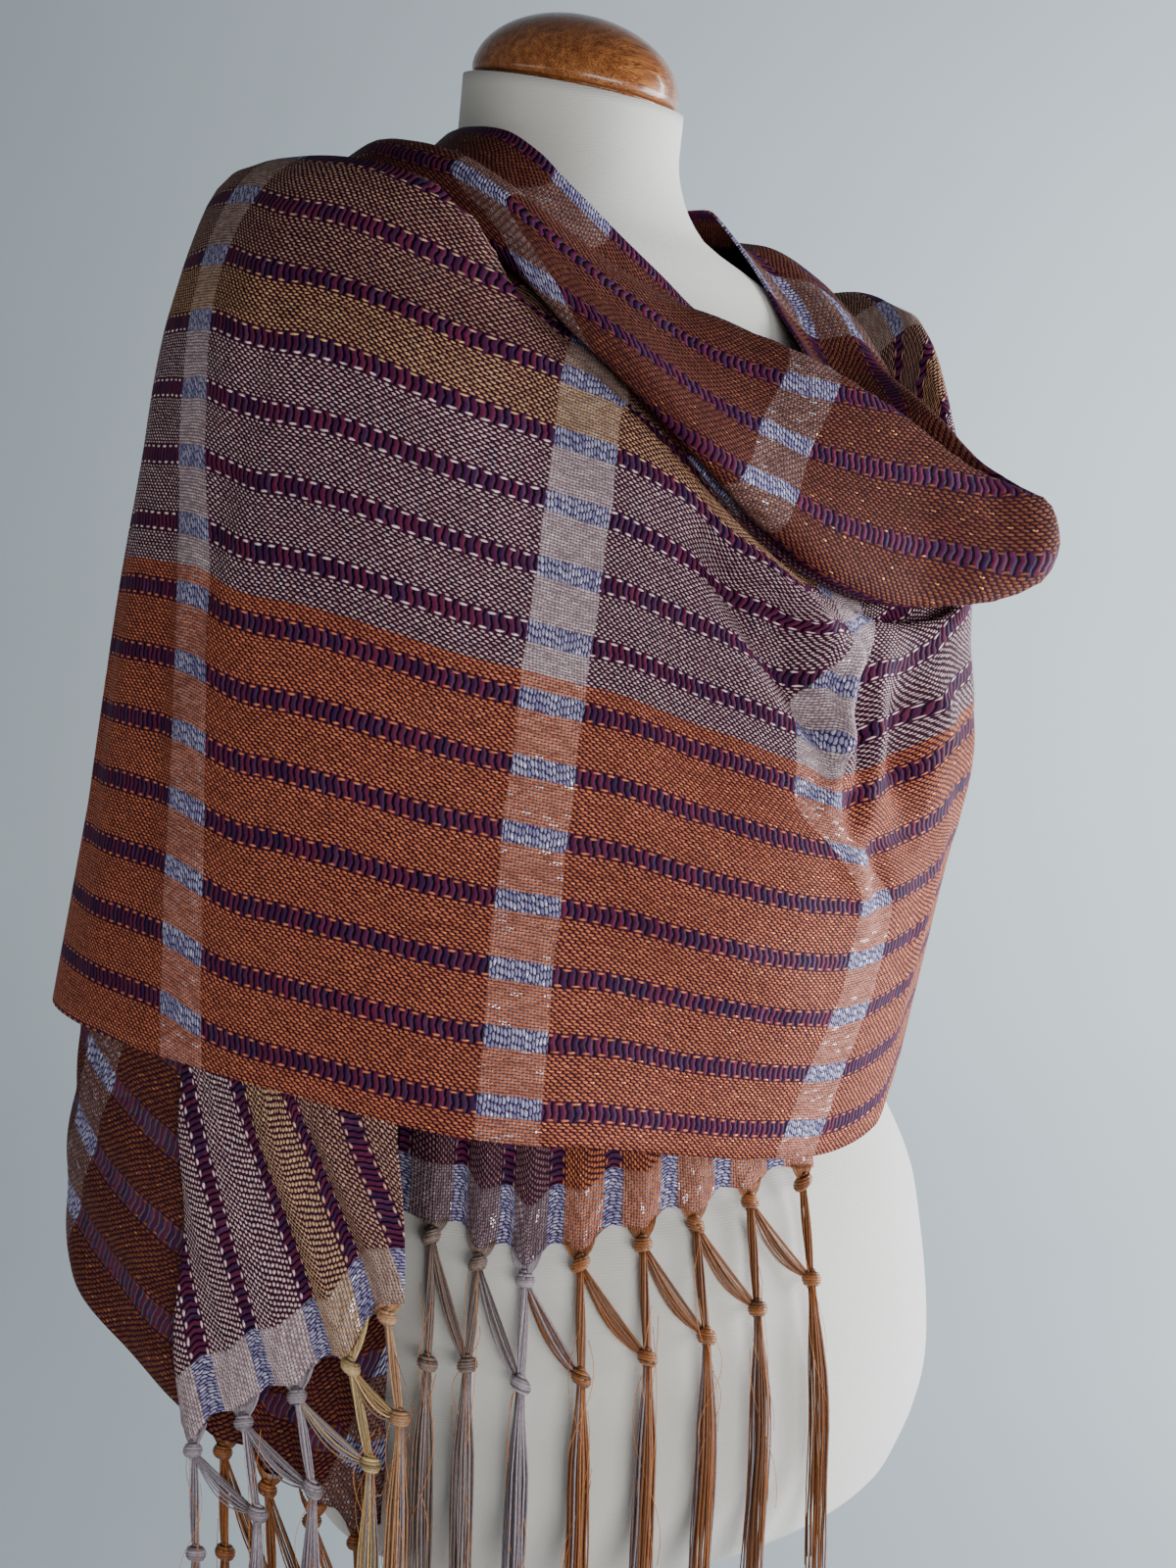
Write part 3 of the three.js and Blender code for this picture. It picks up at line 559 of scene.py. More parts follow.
# from 0.417 m up the stripes take the copies with painted shade
shawl_weave = woven("shawl_weave", [
    (0, RUST, 0.88), (0.219, GREY_LILAC, 0.52), (0.327, GOLD, 0.68), (0.357, PEACH, 0.6),
    (0.417, SHADED_GOLD, 0.68), (0.447, SHADED_LILAC, 0.55), (0.477, SHADED_RUST, 0.95),
])


# The shawl is one length of that cloth, wrapped round the shoulders and held by its own grip.
# Each section runs from the hem, over the shoulder's hump and in to the tuck, where the cloth
# turns back into the rolled collar and out to the neck's edge.
CLOTH = 2.0
REST = 0.5
WRAP = table("angle hemR hemZ low mid high humpR humpZ", [
    [0, 186, 546, 194, 204, 214, 196, 924], [30, 190, 549, 186, 186, 190, 166, 922],
    [60, 188, 546, 178, 170, 160, 142, 918], [90, 195, 541, 178, 162, 150, 140, 918],
    [120, 245, 537, 224, 200, 174, 150, 922], [135, 266, 536, 246, 228, 204, 178, 928],
    [150, 270, 534, 251, 233, 216, 192, 929], [165, 258, 531, 245, 234, 222, 197, 929],
    [180, 245, 528, 240, 234, 226, 192, 927], [195, 234, 522, 226, 218, 209, 182, 919],
    [205, 226, 515, 212, 201, 191, 172, 897], [212, 218, 510, 203, 190, 179, 165, 863],
    [219, 208, 506, 195, 182, 170, 158, 843], [228, 193, 502, 186, 176, 166, 156, 821],
    [240, 176, 494, 180, 173, 163, 153, 792], [255, 167, 487, 175, 176, 166, 151, 760],
    [270, 164, 483, 173, 178, 170, 155, 740], [285, 165, 488, 174, 184, 180, 168, 731],
    [295, 164, 502, 176, 188, 188, 182, 738], [302, 164, 508, 178, 190, 190, 187, 752],
    [309, 166, 513, 179, 190, 191, 188, 766], [315, 166, 517, 180, 191, 192, 187, 782],
    [330, 172, 529, 182, 192, 202, 190, 850], [345, 180, 539, 190, 200, 212, 196, 908],
])
FOLDS = [
    [224, 806, 270, 722, 12, 7], [234, 772, 279, 700, 12, -6], [286, 728, 280, 640, 15, -15],
    [298, 730, 300, 640, 14, 5], [277, 734, 267, 636, 8, -11], [188, 884, 210, 850, 10, -6],
    [160, 880, 163, 560, 22, 6],
    [143, 860, 138, 560, 18, -7], [118, 880, 112, 560, 20, 8], [88, 870, 92, 580, 20, -6],
    [62, 860, 58, 570, 22, 7], [25, 850, 28, 580, 22, -6], [352, 860, 350, 580, 20, 6],
]
# the finer creases: from angle, z to angle, z, how wide, and how far out
CREASES = [
    [271, 727, 262, 652, 6, 9], [254, 735, 263, 668, 7, -7], [245, 768, 271, 712, 9, 15],
    [241, 764, 260, 686, 7, -13],
    [273, 726, 272, 714, 5, -9], [272, 640, 275, 590, 9, -4], [284, 712, 294, 676, 8, 5],
    [246, 764, 266, 690, 7, -4], [252, 760, 268, 700, 6, 3], [262, 700, 272, 640, 8, 5],
    [272, 722, 262, 655, 7, -5], [263, 650, 274, 590, 8, 3.5], [276, 660, 300, 690, 9, -3],
    [225, 740, 262, 668, 9, -2.5], [205, 700, 240, 640, 12, 2], [186, 860, 176, 700, 10, -3],
    [200, 820, 214, 760, 9, 2.5], [190, 640, 240, 600, 14, -2], [170, 780, 172, 600, 9, -2.5],
    [152, 840, 155, 600, 8, 3], [232, 600, 262, 560, 12, 2.5], [206, 560, 250, 540, 10, -2],
    [292, 640, 288, 540, 10, 3], [310, 700, 312, 560, 9, -3], [335, 820, 332, 590, 10, -3.5],
    [10, 840, 12, 590, 10, 3], [45, 850, 42, 590, 9, -3], [75, 850, 76, 600, 9, 3],
    [103, 860, 101, 590, 9, -3.5], [128, 860, 126, 590, 8, 3],
]
COLLAR = table("angle tuckR tuckZ bellyR bellyZ ridgeR ridgeZ edgeR edgeZ", [
    [0, 138, 918, 156, 917, 122, 939, 74, 950], [15, 134, 921, 151, 920, 116, 944, 79, 953],
    [30, 131, 925, 147, 924, 112, 951, 84, 956], [60, 118, 929, 134, 928, 112, 955, 94, 961],
    [90, 113, 930, 129, 929, 111, 957, 96, 964], [120, 114, 930, 130, 930, 110, 958, 94, 965],
    [135, 117, 931, 134, 930, 112, 956, 92, 965], [150, 126, 930, 143, 927, 120, 953, 88, 965],
    [165, 134, 925, 151, 922, 133, 949, 90, 963], [180, 140, 914, 156, 911, 144, 944, 97, 959],
    [195, 140, 900, 156, 897, 143, 934, 102, 953], [205, 141, 888, 157, 885, 138, 920, 101, 942],
    [212, 142, 873, 159, 870, 131, 908, 99, 930], [219, 143, 855, 160, 851, 123, 897, 96, 919],
    [228, 142, 834, 159, 830, 115, 886, 91, 906], [240, 139, 805, 156, 801, 109, 876, 86, 892],
    [255, 137, 773, 154, 769, 114, 867, 84, 876], [270, 141, 752, 158, 747, 132, 854, 88, 866],
    [285, 153, 743, 171, 738, 160, 832, 98, 856], [295, 168, 747, 202, 742, 190, 808, 104, 850],
    [302, 175, 758, 226, 755, 222, 796, 106, 850], [309, 175, 774, 209, 768, 190, 816, 104, 857],
    [315, 172, 790, 189, 785, 170, 840, 102, 868], [330, 152, 838, 168, 834, 152, 868, 96, 890],
    [345, 144, 888, 160, 887, 131, 911, 86, 923],
])


def clear_reach(z, degrees):
    return form_reach(z - CLOTH, degrees) + CLOTH + REST


def fold_rise(folds, angle, z, radius):
    rise = 0.0
    for start, from_z, end, to_z, width, out in folds:
        dx = np.radians(end - start) * radius
        dz = to_z - from_z
        px = np.radians((angle - start + 180) % 360 - 180) * radius
        share = (px * dx + (z - from_z) * dz) / (dx * dx + dz * dz)
        near = np.clip(share, 0, 1)
        away = np.hypot(px - near * dx, z - from_z - near * dz)
        rise = rise + out * np.sin(np.pi * (0.12 + 0.76 * near)) * np.exp(-((away / width) ** 2))
    return rise


def evenly(points, count):
    """Evenly spaced points along a smooth line through each row of points."""
    before = 2 * points[:, :1] - points[:, 1:2]
    after = 2 * points[:, -1:] - points[:, -2:-1]
    p = np.concatenate([before, points, after], axis=1)
    gap = np.sqrt(np.linalg.norm(np.diff(p, axis=1), axis=2))[..., None]
    t = np.linspace(0, 1, 17)[:-1, None, None, None]
    a, b, c, d = p[:, :-3], p[:, 1:-2], p[:, 2:-1], p[:, 3:]
    g, h, k = gap[:, :-2], gap[:, 1:-1], gap[:, 2:]
    m = h * ((b - a) / g - (c - a) / (g + h) + (c - b) / h)
    n = h * ((c - b) / h - (d - b) / (h + k) + (d - c) / k)
    line = b + m * t + (3 * (c - b) - 2 * m - n) * t**2 + (2 * (b - c) + m + n) * t**3
    line = line.transpose(1, 2, 0, 3).reshape(len(points), -1, 2)
    line = np.concatenate([line, points[:, -1:]], axis=1)
    run = np.cumsum(np.linalg.norm(np.diff(line, axis=1), axis=2), axis=1)
    run = np.concatenate([np.zeros((len(points), 1)), run], axis=1)
    share = np.linspace(0, 1, count + 1)
    spaced = [
        [np.interp(share * far[-1], far, path[:, k]) for k in (0, 1)] for far, path in zip(run, line)
    ]
    return np.array(spaced).transpose(1, 0, 2)


def polar(r, angle, z):
    a = np.radians(angle)
    return np.stack(np.broadcast_arrays(r * np.cos(a), r * np.sin(a), z), -1)


def run_length(points):
    """How far along each row of points every point lies, in metres."""
    step = np.linalg.norm(np.diff(points, axis=1), axis=2)
    return np.concatenate([np.zeros((len(points), 1)), np.cumsum(step, axis=1)], axis=1) * MM


ROUND = 428
WRAP_STEPS = 60
COLLAR_STEPS = 38
SEAM_AT = 75.0
angle = SEAM_AT + np.linspace(0, 360, ROUND, endpoint=False)
s = columns(WRAP, "angle", angle, 360)
c = columns(COLLAR, "angle", angle, 360)
climb = s["humpZ"] - s["hemZ"]
wrap_points = np.array([
    [s["hemR"], s["hemZ"]], [s["low"], s["hemZ"] + 0.3 * climb], [s["mid"], s["hemZ"] + 0.6 * climb],
    [s["high"], s["hemZ"] + 0.85 * climb], [s["humpR"], s["humpZ"]],
    [np.minimum(c["bellyR"] + 2, s["humpR"] - 6), c["bellyZ"] - 7], [c["tuckR"], c["tuckZ"] - 2.5],
]).transpose(2, 0, 1)
r, z = evenly(wrap_points, WRAP_STEPS)
around = angle[:, None]
settled = np.minimum(1, np.linspace(WRAP_STEPS, 0, WRAP_STEPS + 1) / 16)
fine = np.minimum(1, settled * 2) * ease(z, s["hemZ"][:, None] + 2, s["hemZ"][:, None] + 40)
r = r + settled * fold_rise(FOLDS, around, z, r) + fine * fold_rise(CREASES, around, z, r)
wrap_grid = polar(np.maximum(r, clear_reach(z, around)), around, z)

run_r = c["ridgeR"] - c["bellyR"]
run_z = c["ridgeZ"] - c["bellyZ"]
length = np.hypot(run_r, run_z)
out_r = run_z / length
out_z = -run_r / length
roll_points = np.array([
    [c["tuckR"] - 1.3, c["tuckZ"] + 2.5], [c["bellyR"] - 3, c["bellyZ"] + 1],
    [c["bellyR"] + out_r * 3, c["bellyZ"] + 9],
    [(c["bellyR"] + c["ridgeR"]) / 2 + out_r * 7, (c["bellyZ"] + c["ridgeZ"]) / 2 + out_z * 7],
    [c["ridgeR"], c["ridgeZ"]],
    [0.55 * c["ridgeR"] + 0.45 * c["edgeR"], np.minimum(c["ridgeZ"], c["edgeZ"]) - 4],
    [c["edgeR"], c["edgeZ"]],
]).transpose(2, 0, 1)
r, z = evenly(roll_points, COLLAR_STEPS - 1)
r = np.concatenate([(c["tuckR"] - 1.3)[:, None], (c["tuckR"] - 3.8)[:, None], r], axis=1)
z = np.concatenate([(c["tuckZ"] - 2.5)[:, None], c["tuckZ"][:, None], z], axis=1)
collar_grid = polar(np.maximum(r, clear_reach(z, around)), around, z)

# Where each pale band lies: its direction at shares of the way up the wrap, then of the way
# from the tuck to the neck's edge.
WRAP_BANDS = table("share none a b c d e f g", [
    [0.0, 75, 119, 179, 216.5, 262, 331, 394, 435],
    [0.15, 75, 119, 178, 217, 267, 333, 396, 435],
    [0.3, 75, 119, 177, 217.5, 272.5, 335, 398, 435],
    [0.42, 75, 119, 175.5, 218.5, 274, 336, 400, 435],
    [0.5, 75, 119, 174.5, 219, 268, 337, 401, 435],
    [0.56, 75, 119, 173.5, 219.5, 260, 338, 402, 435],
    [0.64, 75, 119, 173, 220.3, 260.5, 340, 404, 435],
    [0.75, 75, 119, 172, 221.3, 265, 343, 406, 435],
    [0.82, 75, 119, 174, 222, 270, 345, 407, 435],
    [0.9, 75, 119, 180, 222.6, 273, 347, 408, 435],
    [1.0, 75, 119, 187, 224, 276, 349, 409, 435],
])
COLLAR_BANDS = table("share none a b c d e f g", [
    [0.0, 75, 119, 180, 224, 246, 338, 409, 435],
    [0.15, 75, 119, 157, 219, 250.5, 339, 409, 435],
    [0.3, 75, 119, 157, 212, 255, 340, 409, 435],
    [0.46, 75, 119, 157, 201.5, 260, 341.5, 408, 435],
    [0.69, 75, 119, 156, 206, 270, 343, 407, 435],
    [0.92, 75, 119, 155, 216, 277, 345, 406, 435],
    [1.0, 75, 119, 155, 217, 279, 346, 406, 435],
])


def banded(bands, grid, angle):
    """For each point of the grid, how far along the cloth it lies and how far from a band's middle."""
    share = np.linspace(0, 1, grid.shape[1])
    names = [name for name in bands if name != "share"]
    lines = np.array([smooth(bands["share"], bands[name], share) for name in names])
    usual = lines.mean(axis=1)
    # the weft leans less than half as far as a band's own path does
    gentle = usual[:, None] + 0.45 * (lines - usual[:, None])
    reach = np.hypot(grid[..., 0], grid[..., 1])
    mean = reach.mean(axis=1)
    steps = np.radians(np.diff(angle)) * (mean[1:] + mean[:-1]) / 2
    round_run = np.concatenate([[0], np.cumsum(steps)])
    along, away = np.empty(reach.shape), np.empty(reach.shape)
    for k in range(len(share)):
        along[:, k] = np.interp(np.interp(angle, gentle[:, k], usual), angle, round_run)
        turn = np.radians(angle[:, None] - lines[None, 1:-1, k]) * reach[:, k, None]
        away[:, k] = np.abs(turn).min(axis=1)
    return along * MM, away * MM, round_run[-1] * MM


# The wrap's warps aren't level: towards the front the hem curls under, and the creases take up
# more of the cloth.
SLACK = table("angle under gain", [
    [75, 0, 1.0], [160, 0, 1.0], [174, 2, 1.0], [187, 12, 1.0], [205, 12, 1.03], [218, 11, 1.045],
    [245, 11, 1.1], [261, 11, 1.14], [272, 11, 1.13], [294, 10, 1.1], [315, 4, 1.03], [335, 0, 1.0],
])
slack = columns(SLACK, "angle", angle, 360)
wrap_up = run_length(wrap_grid) * slack["gain"][:, None] + slack["under"][:, None] * MM
PINCH = table("height angle", [
    [600, 271.5], [626, 269.5], [645, 265], [660, 262], [676, 265], [700, 268], [720, 272],
])
rise = wrap_grid[..., 2]
pinch = np.interp(rise, PINCH["height"], PINCH["angle"])
off_pinch = np.abs(np.radians((around + 0 * pinch) % 360 - pinch)) * 175
wrap_up += 0.007 * np.exp(-off_pinch / 11) * ease(rise, 560, 650) * ease(rise, 745, 690)

wrap_along, wrap_away, total = banded(WRAP_BANDS, wrap_grid, angle)
collar_along, collar_away, _ = banded(COLLAR_BANDS, collar_grid, angle)
# the collar's width of cloth, measured back from the selvedge at the neck
COLLAR_RUN = 0.172
back_run = run_length(collar_grid[:, ::-1])[:, ::-1]
back_run *= np.minimum(1, COLLAR_RUN / back_run[:, :1])
flat = np.concatenate([
    np.stack([wrap_along, wrap_up], -1),
    np.stack([collar_along, CLOTH_WIDTH - back_run], -1),
], axis=1)
grid = np.concatenate([wrap_grid, collar_grid], axis=1)
band = np.concatenate([wrap_away, collar_away], axis=1)
shawl = shown(
    "shawl_wrap", grid, closed=True, thick=1.3, flat=flat, turn=total * ROUND / (ROUND - 1), band=band,
)
shawl.data.materials.append(shawl_weave)
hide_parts("wrap_front", "wrap_back", "collar_front", "collar_back")
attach(shawl, "root")


# The two ends hang below the hem. Each has a scalloped woven edge, drawn in at the knots, and
# soft ribs, because the groups of warps stand out and the ladders between them sink.
FRONT_KNOTS = table("angle z lowAngle lowZ", [
    [204.7, 454.7, 206.4, 403], [211.7, 446.1, 211.6, 404.3], [218.2, 440.4, 218.5, 397.5],
    [225.6, 447.2, 226.2, 400.5], [234.7, 454, 235.1, 407.4], [243.4, 459.9, 243.9, 413.7],
    [253.5, 466.8, 252.6, 422], [265.1, 470.9, 263.5, 429.4],
])
FLAP_KNOTS = table("angle z lowAngle lowZ", [
    [180.9, 353.8, 181.6, 307.2], [187, 371.9, 188.8, 332], [192.9, 387.2, 194.9, 346.8],
    [198.7, 402.7, 201.2, 360.1], [202.6, 425.8, 204.4, 381.6],
])
DROP_KNOTS = table("angle z lowAngle lowZ", [
    [182.5, 352, 183, 306], [187.5, 338, 188.5, 292], [192.7, 326, 193.8, 280],
    [198.2, 319, 199.5, 272],
])


def end_line(knots, first, last):
    line = [first]
    for i in range(len(knots["angle"])):
        line.append([knots["angle"][i], knots["z"][i] + 6.24])
        if i + 1 < len(knots["angle"]):
            line.append([knots["angle"][i : i + 2].mean(), knots["z"][i : i + 2].mean() + 11.24])
    return np.array(line + [last])


FRONT_LINE = end_line(FRONT_KNOTS, [198, 464], [268.5, 476])
FLAP_LINE = end_line(FLAP_KNOTS, [178.6, 363], [204.8, 433])
DROP_END = end_line(DROP_KNOTS, [179.5, 366], [201.5, 330])
DROP_SIDE = np.array([
    [138, 472], [141, 448], [146, 430], [152, 418], [160, 406], [168, 389], [174, 376],
])
DROP_LINE = np.concatenate([DROP_SIDE, DROP_END])


def front_reach(z, degrees):
    return form_reach(np.minimum(z, 460), degrees) + CLOTH + REST - 0.06 * np.maximum(0, z - 460)


def hem_z(degrees):
    return smooth(WRAP["angle"], WRAP["hemZ"], degrees, 360)


def inside_wrap(z, degrees):
    """The plain wrap's reach at a height and direction, read off its sections."""
    near = np.clip(np.round((degrees - SEAM_AT) % 360 / 360 * ROUND).astype(int) % ROUND, 0, ROUND - 1)
    reach = np.hypot(wrap_grid[..., 0], wrap_grid[..., 1])
    rise = wrap_grid[..., 2]
    flat_near, flat_z = np.broadcast_arrays(near, z)
    values = [
        np.interp(h, rise[k, :30], reach[k, :30]) for k, h in zip(flat_near.ravel(), flat_z.ravel())
    ]
    return np.array(values).reshape(flat_z.shape)


FLAP = table("angle reach", [
    [175, 244], [180, 242], [185, 236], [190, 229], [195, 222], [200, 215], [206, 208],
])
DROP = table("angle reach layers", [
    [136, 240, 6], [142, 253, 6], [148, 261, 5.5], [154, 263, 4], [160, 260, 2], [170, 250, 1.4],
    [178, 238, 2], [184, 227, 2], [190, 216, 2], [198, 206, 2], [204, 203, 2],
])


def hang_reach(z, degrees, below, layers):
    hem = hem_z(degrees)
    under = inside_wrap(np.maximum(z, hem), degrees) - layers * 2.9
    share = np.clip((hem - z) / 80, 0, 1)
    return under + (below - under) * share * share * (3 - 2 * share)


def hanging_grid(line, wide, tall):
    """A direction and height to each point, from the woven edge to a little above the hem."""
    degrees = np.linspace(line[0, 0], line[-1, 0], wide)
    edge = smooth(line[:, 0], line[:, 1], degrees)
    top = hem_z(degrees) + 17
    share = np.linspace(0, 1, tall)[None, :]
    z = edge[:, None] + (top - edge)[:, None] * share
    return degrees[:, None] + 0 * z, z


# The front end is one end of the shawl: its warps hang straight up and down, three dull lilac
# groups and then rust ones, and a pale band of weft is woven along its edge.
FIRST_GROUP = 0.012
degrees, z = hanging_grid(FRONT_LINE, 260, 26)
place = np.interp(degrees, FRONT_KNOTS["angle"], FIRST_GROUP + GROUP * np.arange(8))
place += 0.0024 * np.maximum(0, degrees - 265.1) - 0.0024 * np.maximum(0, 204.7 - degrees)
rib = 0.5 + 0.5 * np.cos((place - FIRST_GROUP) / GROUP * 2 * np.pi)
below_hem = ease(hem_z(degrees) - z, 0, 16)
reach = front_reach(z, degrees) + 3.2 * rib * below_hem
points = polar(reach, degrees, z)
edge_run = run_length(points)
front_cloth = shown(
    "front_end_cloth", points, thick=1.2, flat=np.stack([edge_run, place], -1), band=edge_run - 0.0125,
)
front_cloth.data.materials.append(woven("front_end_weave", [
    (0, tint("86666a"), 0.72), (0.087, tint("b86a44"), 0.88),
]))
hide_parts("front_end")
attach(front_cloth, "root")


def slanted(line, degrees, z, knots, lean):
    """Places on a hanging end whose warps lean: across the warps, and up along them."""
    radius = 225.0
    x = np.radians(degrees) * radius
    edge_x = np.radians(line[:, 0]) * radius
    foot_x = x.copy()
    for _ in range(12):
        foot_z = np.interp(foot_x, edge_x, line[:, 1])
        foot_x = 0.5 * foot_x + 0.5 * (x + lean * (z - foot_z))
    knot_x = np.radians(knots["angle"]) * radius
    across = np.interp(foot_x, knot_x, FIRST_GROUP + GROUP * np.arange(len(knot_x)))
    across += 0.001 * np.maximum(0, foot_x - knot_x[-1]) - 0.001 * np.maximum(0, knot_x[0] - foot_x)
    return across, np.hypot(z - foot_z, x - foot_x) * MM


# The flap at the form's right hip is the shawl's other end: its warps lean down to the right,
# lilac groups first, then a gold and a peach one.
degrees, z = hanging_grid(FLAP_LINE, 130, 70)
place, edge_run = slanted(FLAP_LINE, degrees, z, FLAP_KNOTS, 0.32)
rib = 0.5 + 0.5 * np.cos((place - FIRST_GROUP) / GROUP * 2 * np.pi)
below_hem = ease(hem_z(degrees) - z, 0, 30)
reach = hang_reach(z, degrees, smooth(FLAP["angle"], FLAP["reach"], degrees), 1)
reach = reach + below_hem * (2.4 * rib - 1.2 + 2.0 * np.sin(place * 150 + z * 0.012))
flap_cloth = shown(
    "side_flap_cloth", polar(reach, degrees, z), thick=1.2, flat=np.stack([edge_run, place], -1),
    band=edge_run - 0.0125,
)
flap_cloth.data.materials.append(woven("side_flap_weave", [
    (0, GREY_LILAC, 0.6), (0.087, tint("d6ad86"), 0.75), (0.117, tint("c89f85"), 0.7),
]))
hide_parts("side_flap")
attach(flap_cloth, "root")

# The drop behind it is the same end folded back: rust, with its warps slanting at 45 degrees to
# its rippled selvedge.
degrees, z = hanging_grid(DROP_LINE, 240, 64)
DROP_RADIUS = 235.0
x = np.radians(degrees) * DROP_RADIUS
selvedge = np.interp(degrees, DROP_LINE[:, 0], DROP_LINE[:, 1])
place = np.abs((z - selvedge) * 0.72) * MM + 0.004
edge_run = np.hypot(x - np.radians(200) * DROP_RADIUS, z - 330) * MM
end_band = (np.radians(200.5) * DROP_RADIUS - x) * 0.82 * MM + (z - 330) * 0.35 * MM
below_hem = ease(hem_z(degrees) - z, 0, 30)
ripple = 2.4 * np.sin(x * 0.105 + z * 0.05) * ease(z - selvedge, 60, 0)
rib = 0.5 + 0.5 * np.cos((place - FIRST_GROUP) / GROUP * 2 * np.pi)
layers = smooth(DROP["angle"], DROP["layers"], degrees)
reach = hang_reach(z, degrees, smooth(DROP["angle"], DROP["reach"], degrees), layers)
reach = reach + below_hem * (ripple + 1.6 * rib - 1.6)
drop_cloth = shown(
    "side_drop_cloth", polar(reach, degrees, z), thick=1.2, flat=np.stack([end_band, place], -1),
    band=np.minimum(end_band - 0.0125, np.abs(end_band - 0.19)),
)
# The drop's rust is the copy with painted shade, and its open slots are painted light grey for the
# light that shows through them.
drop_cloth.data.materials.append(woven(
    "side_drop_weave", [(0, SHADED_RUST, 0.9), (0.219, GREY_LILAC, 0.6)], slot=tint("5f585c"),
))
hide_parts("side_drop")
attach(drop_cloth, "root")


# The fringes: each group of warps is drawn into a knot under the woven edge, half of it goes
# straight down and half across to its neighbour's second knot, and a tassel hangs from that.
def tubes(name, paths, radii, tints, ref):
    """One mesh of thin yarns. paths holds (points, 3) arrays in millimetres."""
    verts, faces, shades, start = [], [], [], 0
    sides = 4
    spin = np.arange(sides) * 2 * np.pi / sides
    for path, radius, shade, up in zip(paths, radii, tints, ref):
        along = np.gradient(path, axis=0)
        along /= np.linalg.norm(along, axis=1, keepdims=True)
        side = np.cross(along, up)
        side /= np.linalg.norm(side, axis=1, keepdims=True)
        face = np.cross(side, along)
        size = np.broadcast_to(radius, len(path))[:, None, None]
        ring = path[:, None] + size * (
            side[:, None] * np.cos(spin)[None, :, None] + face[:, None] * np.sin(spin)[None, :, None]
        )
        verts.append(ring.reshape(-1, 3))
        i, j = np.meshgrid(np.arange(len(path) - 1), np.arange(sides), indexing="ij")
        k = (j + 1) % sides
        quad = np.stack([i * sides + j, i * sides + k, (i + 1) * sides + k, (i + 1) * sides + j], -1)
        faces.append(quad.reshape(-1, 4)[:, ::-1] + start)
        faces.append([[start, start + 1, start + 2, start + 3]])
        faces.append([[start + len(path) * 4 - n for n in (1, 2, 3, 4)]])
        shades.append(np.broadcast_to(shade, (len(path) * sides, 4)))
        start += len(path) * sides
    mesh = bpy.data.meshes.new(name)
    mesh.from_pydata((np.concatenate(verts) * MM).tolist(), [], np.concatenate(faces).tolist())
    mesh.shade_smooth()
    layer = mesh.attributes.new("yarn", "FLOAT_COLOR", "POINT")
    layer.data.foreach_set("color", np.concatenate(shades).astype(np.float32).ravel())
    made = bpy.data.objects.new(name, mesh)
    bpy.context.scene.collection.objects.link(made)
    return made


yarn = Shade("fringe_yarn")
own = yarn.node("ShaderNodeAttribute", attribute_name="yarn").outputs["Color"]
place = yarn.node("ShaderNodeTexCoord").outputs["Object"]
drawn = yarn.node("ShaderNodeMapping", {"Vector": place, "Scale": (1, 1, 0.4)}).outputs[0]
twist = yarn.noise(drawn, 1500.0)
# painted shade: the yarn is darker where its twist's grooves sink, following the same noise that bumps
# it
light = yarn.step(twist, 0.3, 0.7, 0.66, 1.02)
yarn_finish = yarn.finish(
    {
        "Base Color": yarn.mix(1.0, own, yarn.join(light, light, light), "MULTIPLY"),
        "Roughness": 0.38,
        "Sheen Weight": 0.1,
    },
    twist, 0.0001, 0.4,
)

COPPER_YARN, LILAC_YARN, SMOKE_YARN, PEACH_YARN, CREAM_YARN, GLINT_YARN = [
    np.array(tint(code)) for code in ("a0602f", "aa9da6", "917a70", "c09068", "d6b680", "e08a3c")
]


def front_fringe_reach(z, degrees):
    over = form_reach(np.maximum(z, 355), degrees) + 8.2
    return np.where(z > 440, front_reach(z, degrees) + 3, over)


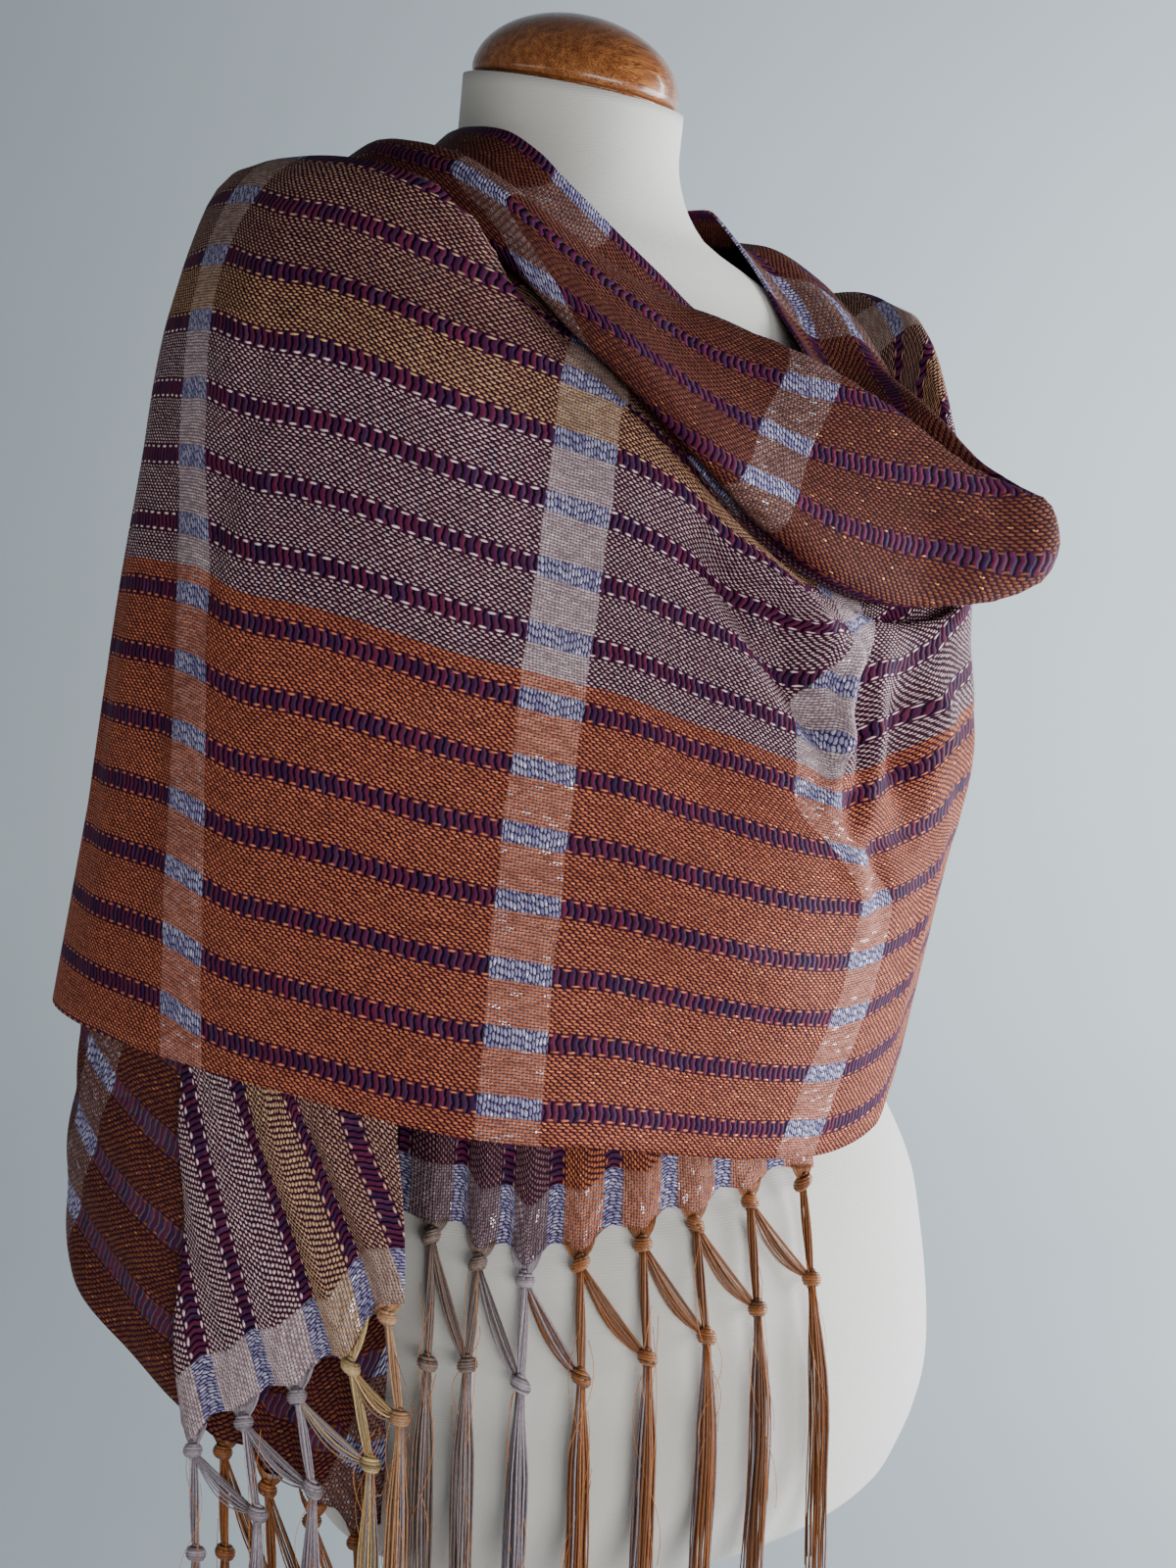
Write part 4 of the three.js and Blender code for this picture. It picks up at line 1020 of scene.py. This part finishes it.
def fringed(name, knots, line, reach, yarns, node, seed):
    rng = np.random.default_rng(seed)
    paths, radii, tints, refs = [], [], [], []

    def middle(z, degrees):
        return polar(reach(z, degrees) - 1, degrees, z)

    def add(path, radius, shade, ref):
        paths.append(path)
        radii.append(radius)
        tints.append(np.clip(shade * (1 + 0.26 * rng.standard_normal()), 0, 1))
        refs.append(ref)

    for i in range(len(knots["angle"])):
        top = middle(np.array(knots["z"][i]), knots["angle"][i])
        low = middle(np.array(knots["lowZ"][i]), knots["lowAngle"][i])
        out = np.array([low[0], low[1], 0]) / np.hypot(low[0], low[1])
        side = np.array([-out[1], out[0], 0])
        up = np.array([0, 0, 1.0])
        shade = yarns[i]
        # the ends drawn together from the woven edge
        for k in range(15):
            wide = (k / 14 - 0.5) * 13
            degrees = knots["angle"][i] + np.degrees(wide / reach(knots["z"][i], knots["angle"][i]))
            start = middle(smooth(line[:, 0], line[:, 1], degrees) + 1.5, degrees)
            start = start + out * (0.6 - 0.03 * wide * wide)
            t = np.linspace(0, 1, 5)[:, None]
            path = start + (top - start) * t + side * wide * 0.22 * np.sin(np.pi * t)
            add(path, 0.5, shade, out)
        # both knots: loops wound round the bundle
        for centre, size in ((top, 3.5), (low, 3.7)):
            lean = rng.uniform(-0.5, 0.5)
            for k in range(7):
                v = (k / 6 - 0.5) * 2
                loop = size * np.sqrt(1.12 - v * v)
                a = np.linspace(0, 2 * np.pi, 12)[:, None] + rng.uniform(0, 6)
                path = centre + loop * (side * np.cos(a) + out * np.sin(a)) + up * (
                    v * size * 0.95 + lean * loop * np.cos(a) + 0.9 * np.sin(a)
                )
                add(path, 0.95, shade, up)
        # the straight bundle
        t = np.linspace(0, 1, 9)[:, None]
        for k in range(13):
            a = k * 2.4
            ring = 1.7 * np.sqrt((k + 0.5) / 13)
            swell = 0.75 + 0.5 * np.sin(np.pi * t)
            shift = side * np.cos(a + 1.2 * t) + out * np.sin(a + 1.2 * t)
            add(top + (low - top) * t + ring * swell * shift, 0.5, shade, out)
        # the bowed bundle from the neighbour on the left
        if i:
            before = middle(np.array(knots["z"][i - 1]), knots["angle"][i - 1])
            for k in range(14):
                a = k * 2.4
                ring = 1.3 * np.sqrt((k + 0.5) / 14)
                sag = 4.5 + 7 * ((k % 7) / 6 - 0.5)
                mid = np.sin(np.pi * t)
                path = before + (low - before) * t - up * sag * mid + ring * (0.7 + 1.5 * mid) * (
                    side * np.cos(a) + out * np.sin(a)
                )
                add(path, 0.46, yarns[i - 1] if k % 3 else shade, out)
        # the tassel
        tip = knots["z"][i] - 172 + 5 * np.sin(i * 2.4)
        t = np.linspace(0, 1, 11)[:, None]
        sway = rng.uniform(-2.2, 2.2, 2)
        for k in range(36):
            a = k * 2.4
            ring = np.sqrt((k + 0.5) / 36)
            spread = 1.4 + 3.2 * ease(t, 0, 0.35) + 0.7 * t
            phase = rng.uniform(0, 6)
            wave = 0.5 * np.sin(t * rng.uniform(7, 15) + phase) * t
            ends = tip + rng.uniform(-7, 7)
            z = low[2] + (ends - low[2]) * t
            base = middle(z[:, 0], np.full(11, knots["lowAngle"][i]))
            path = base + ring * spread * (side * np.cos(a) + out * np.sin(a))
            path += side * (wave + sway[0] * t**2)
            chosen = shade if rng.random() > 0.12 else LILAC_YARN
            add(path, 0.5 - 0.12 * t[:, 0], chosen, out)
        # fine glittering threads that stand off the yarn
        for k in range(5):
            far = rng.uniform(2.5, 7)
            start = rng.uniform(0, 0.55)
            z = knots["z"][i] + (tip - knots["z"][i]) * (start + t[:, 0] * rng.uniform(0.2, 0.5))
            base = middle(z, np.full(11, knots["lowAngle"][i]))
            curl = side * far * np.sin(t * rng.uniform(2, 5) + rng.uniform(0, 6))
            curl += out * (1.5 + far * 0.5 * t)
            add(base + curl, 0.16, GLINT_YARN, out)
    made = tubes(name, paths, radii, tints, refs)
    made.data.materials.append(yarn_finish)
    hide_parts(node)
    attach(made, "root")
    return made


front_yarns = [SMOKE_YARN, SMOKE_YARN, LILAC_YARN] + [COPPER_YARN] * 5
front_threads = fringed(
    "front_fringe_yarns", FRONT_KNOTS, FRONT_LINE, front_fringe_reach, front_yarns, "front_fringe", 3,
)
flap_threads = fringed(
    "flap_fringe_yarns", FLAP_KNOTS, FLAP_LINE,
    lambda z, d: smooth(FLAP["angle"], FLAP["reach"], d) + 0 * z,
    [LILAC_YARN, LILAC_YARN, LILAC_YARN, CREAM_YARN, PEACH_YARN], "flap_fringe", 5,
)
drop_threads = fringed(
    "drop_fringe_yarns", DROP_KNOTS, DROP_END,
    lambda z, d: smooth(DROP["angle"], DROP["reach"], d) + 0 * z,
    [COPPER_YARN] * 4, "drop_fringe", 7,
)
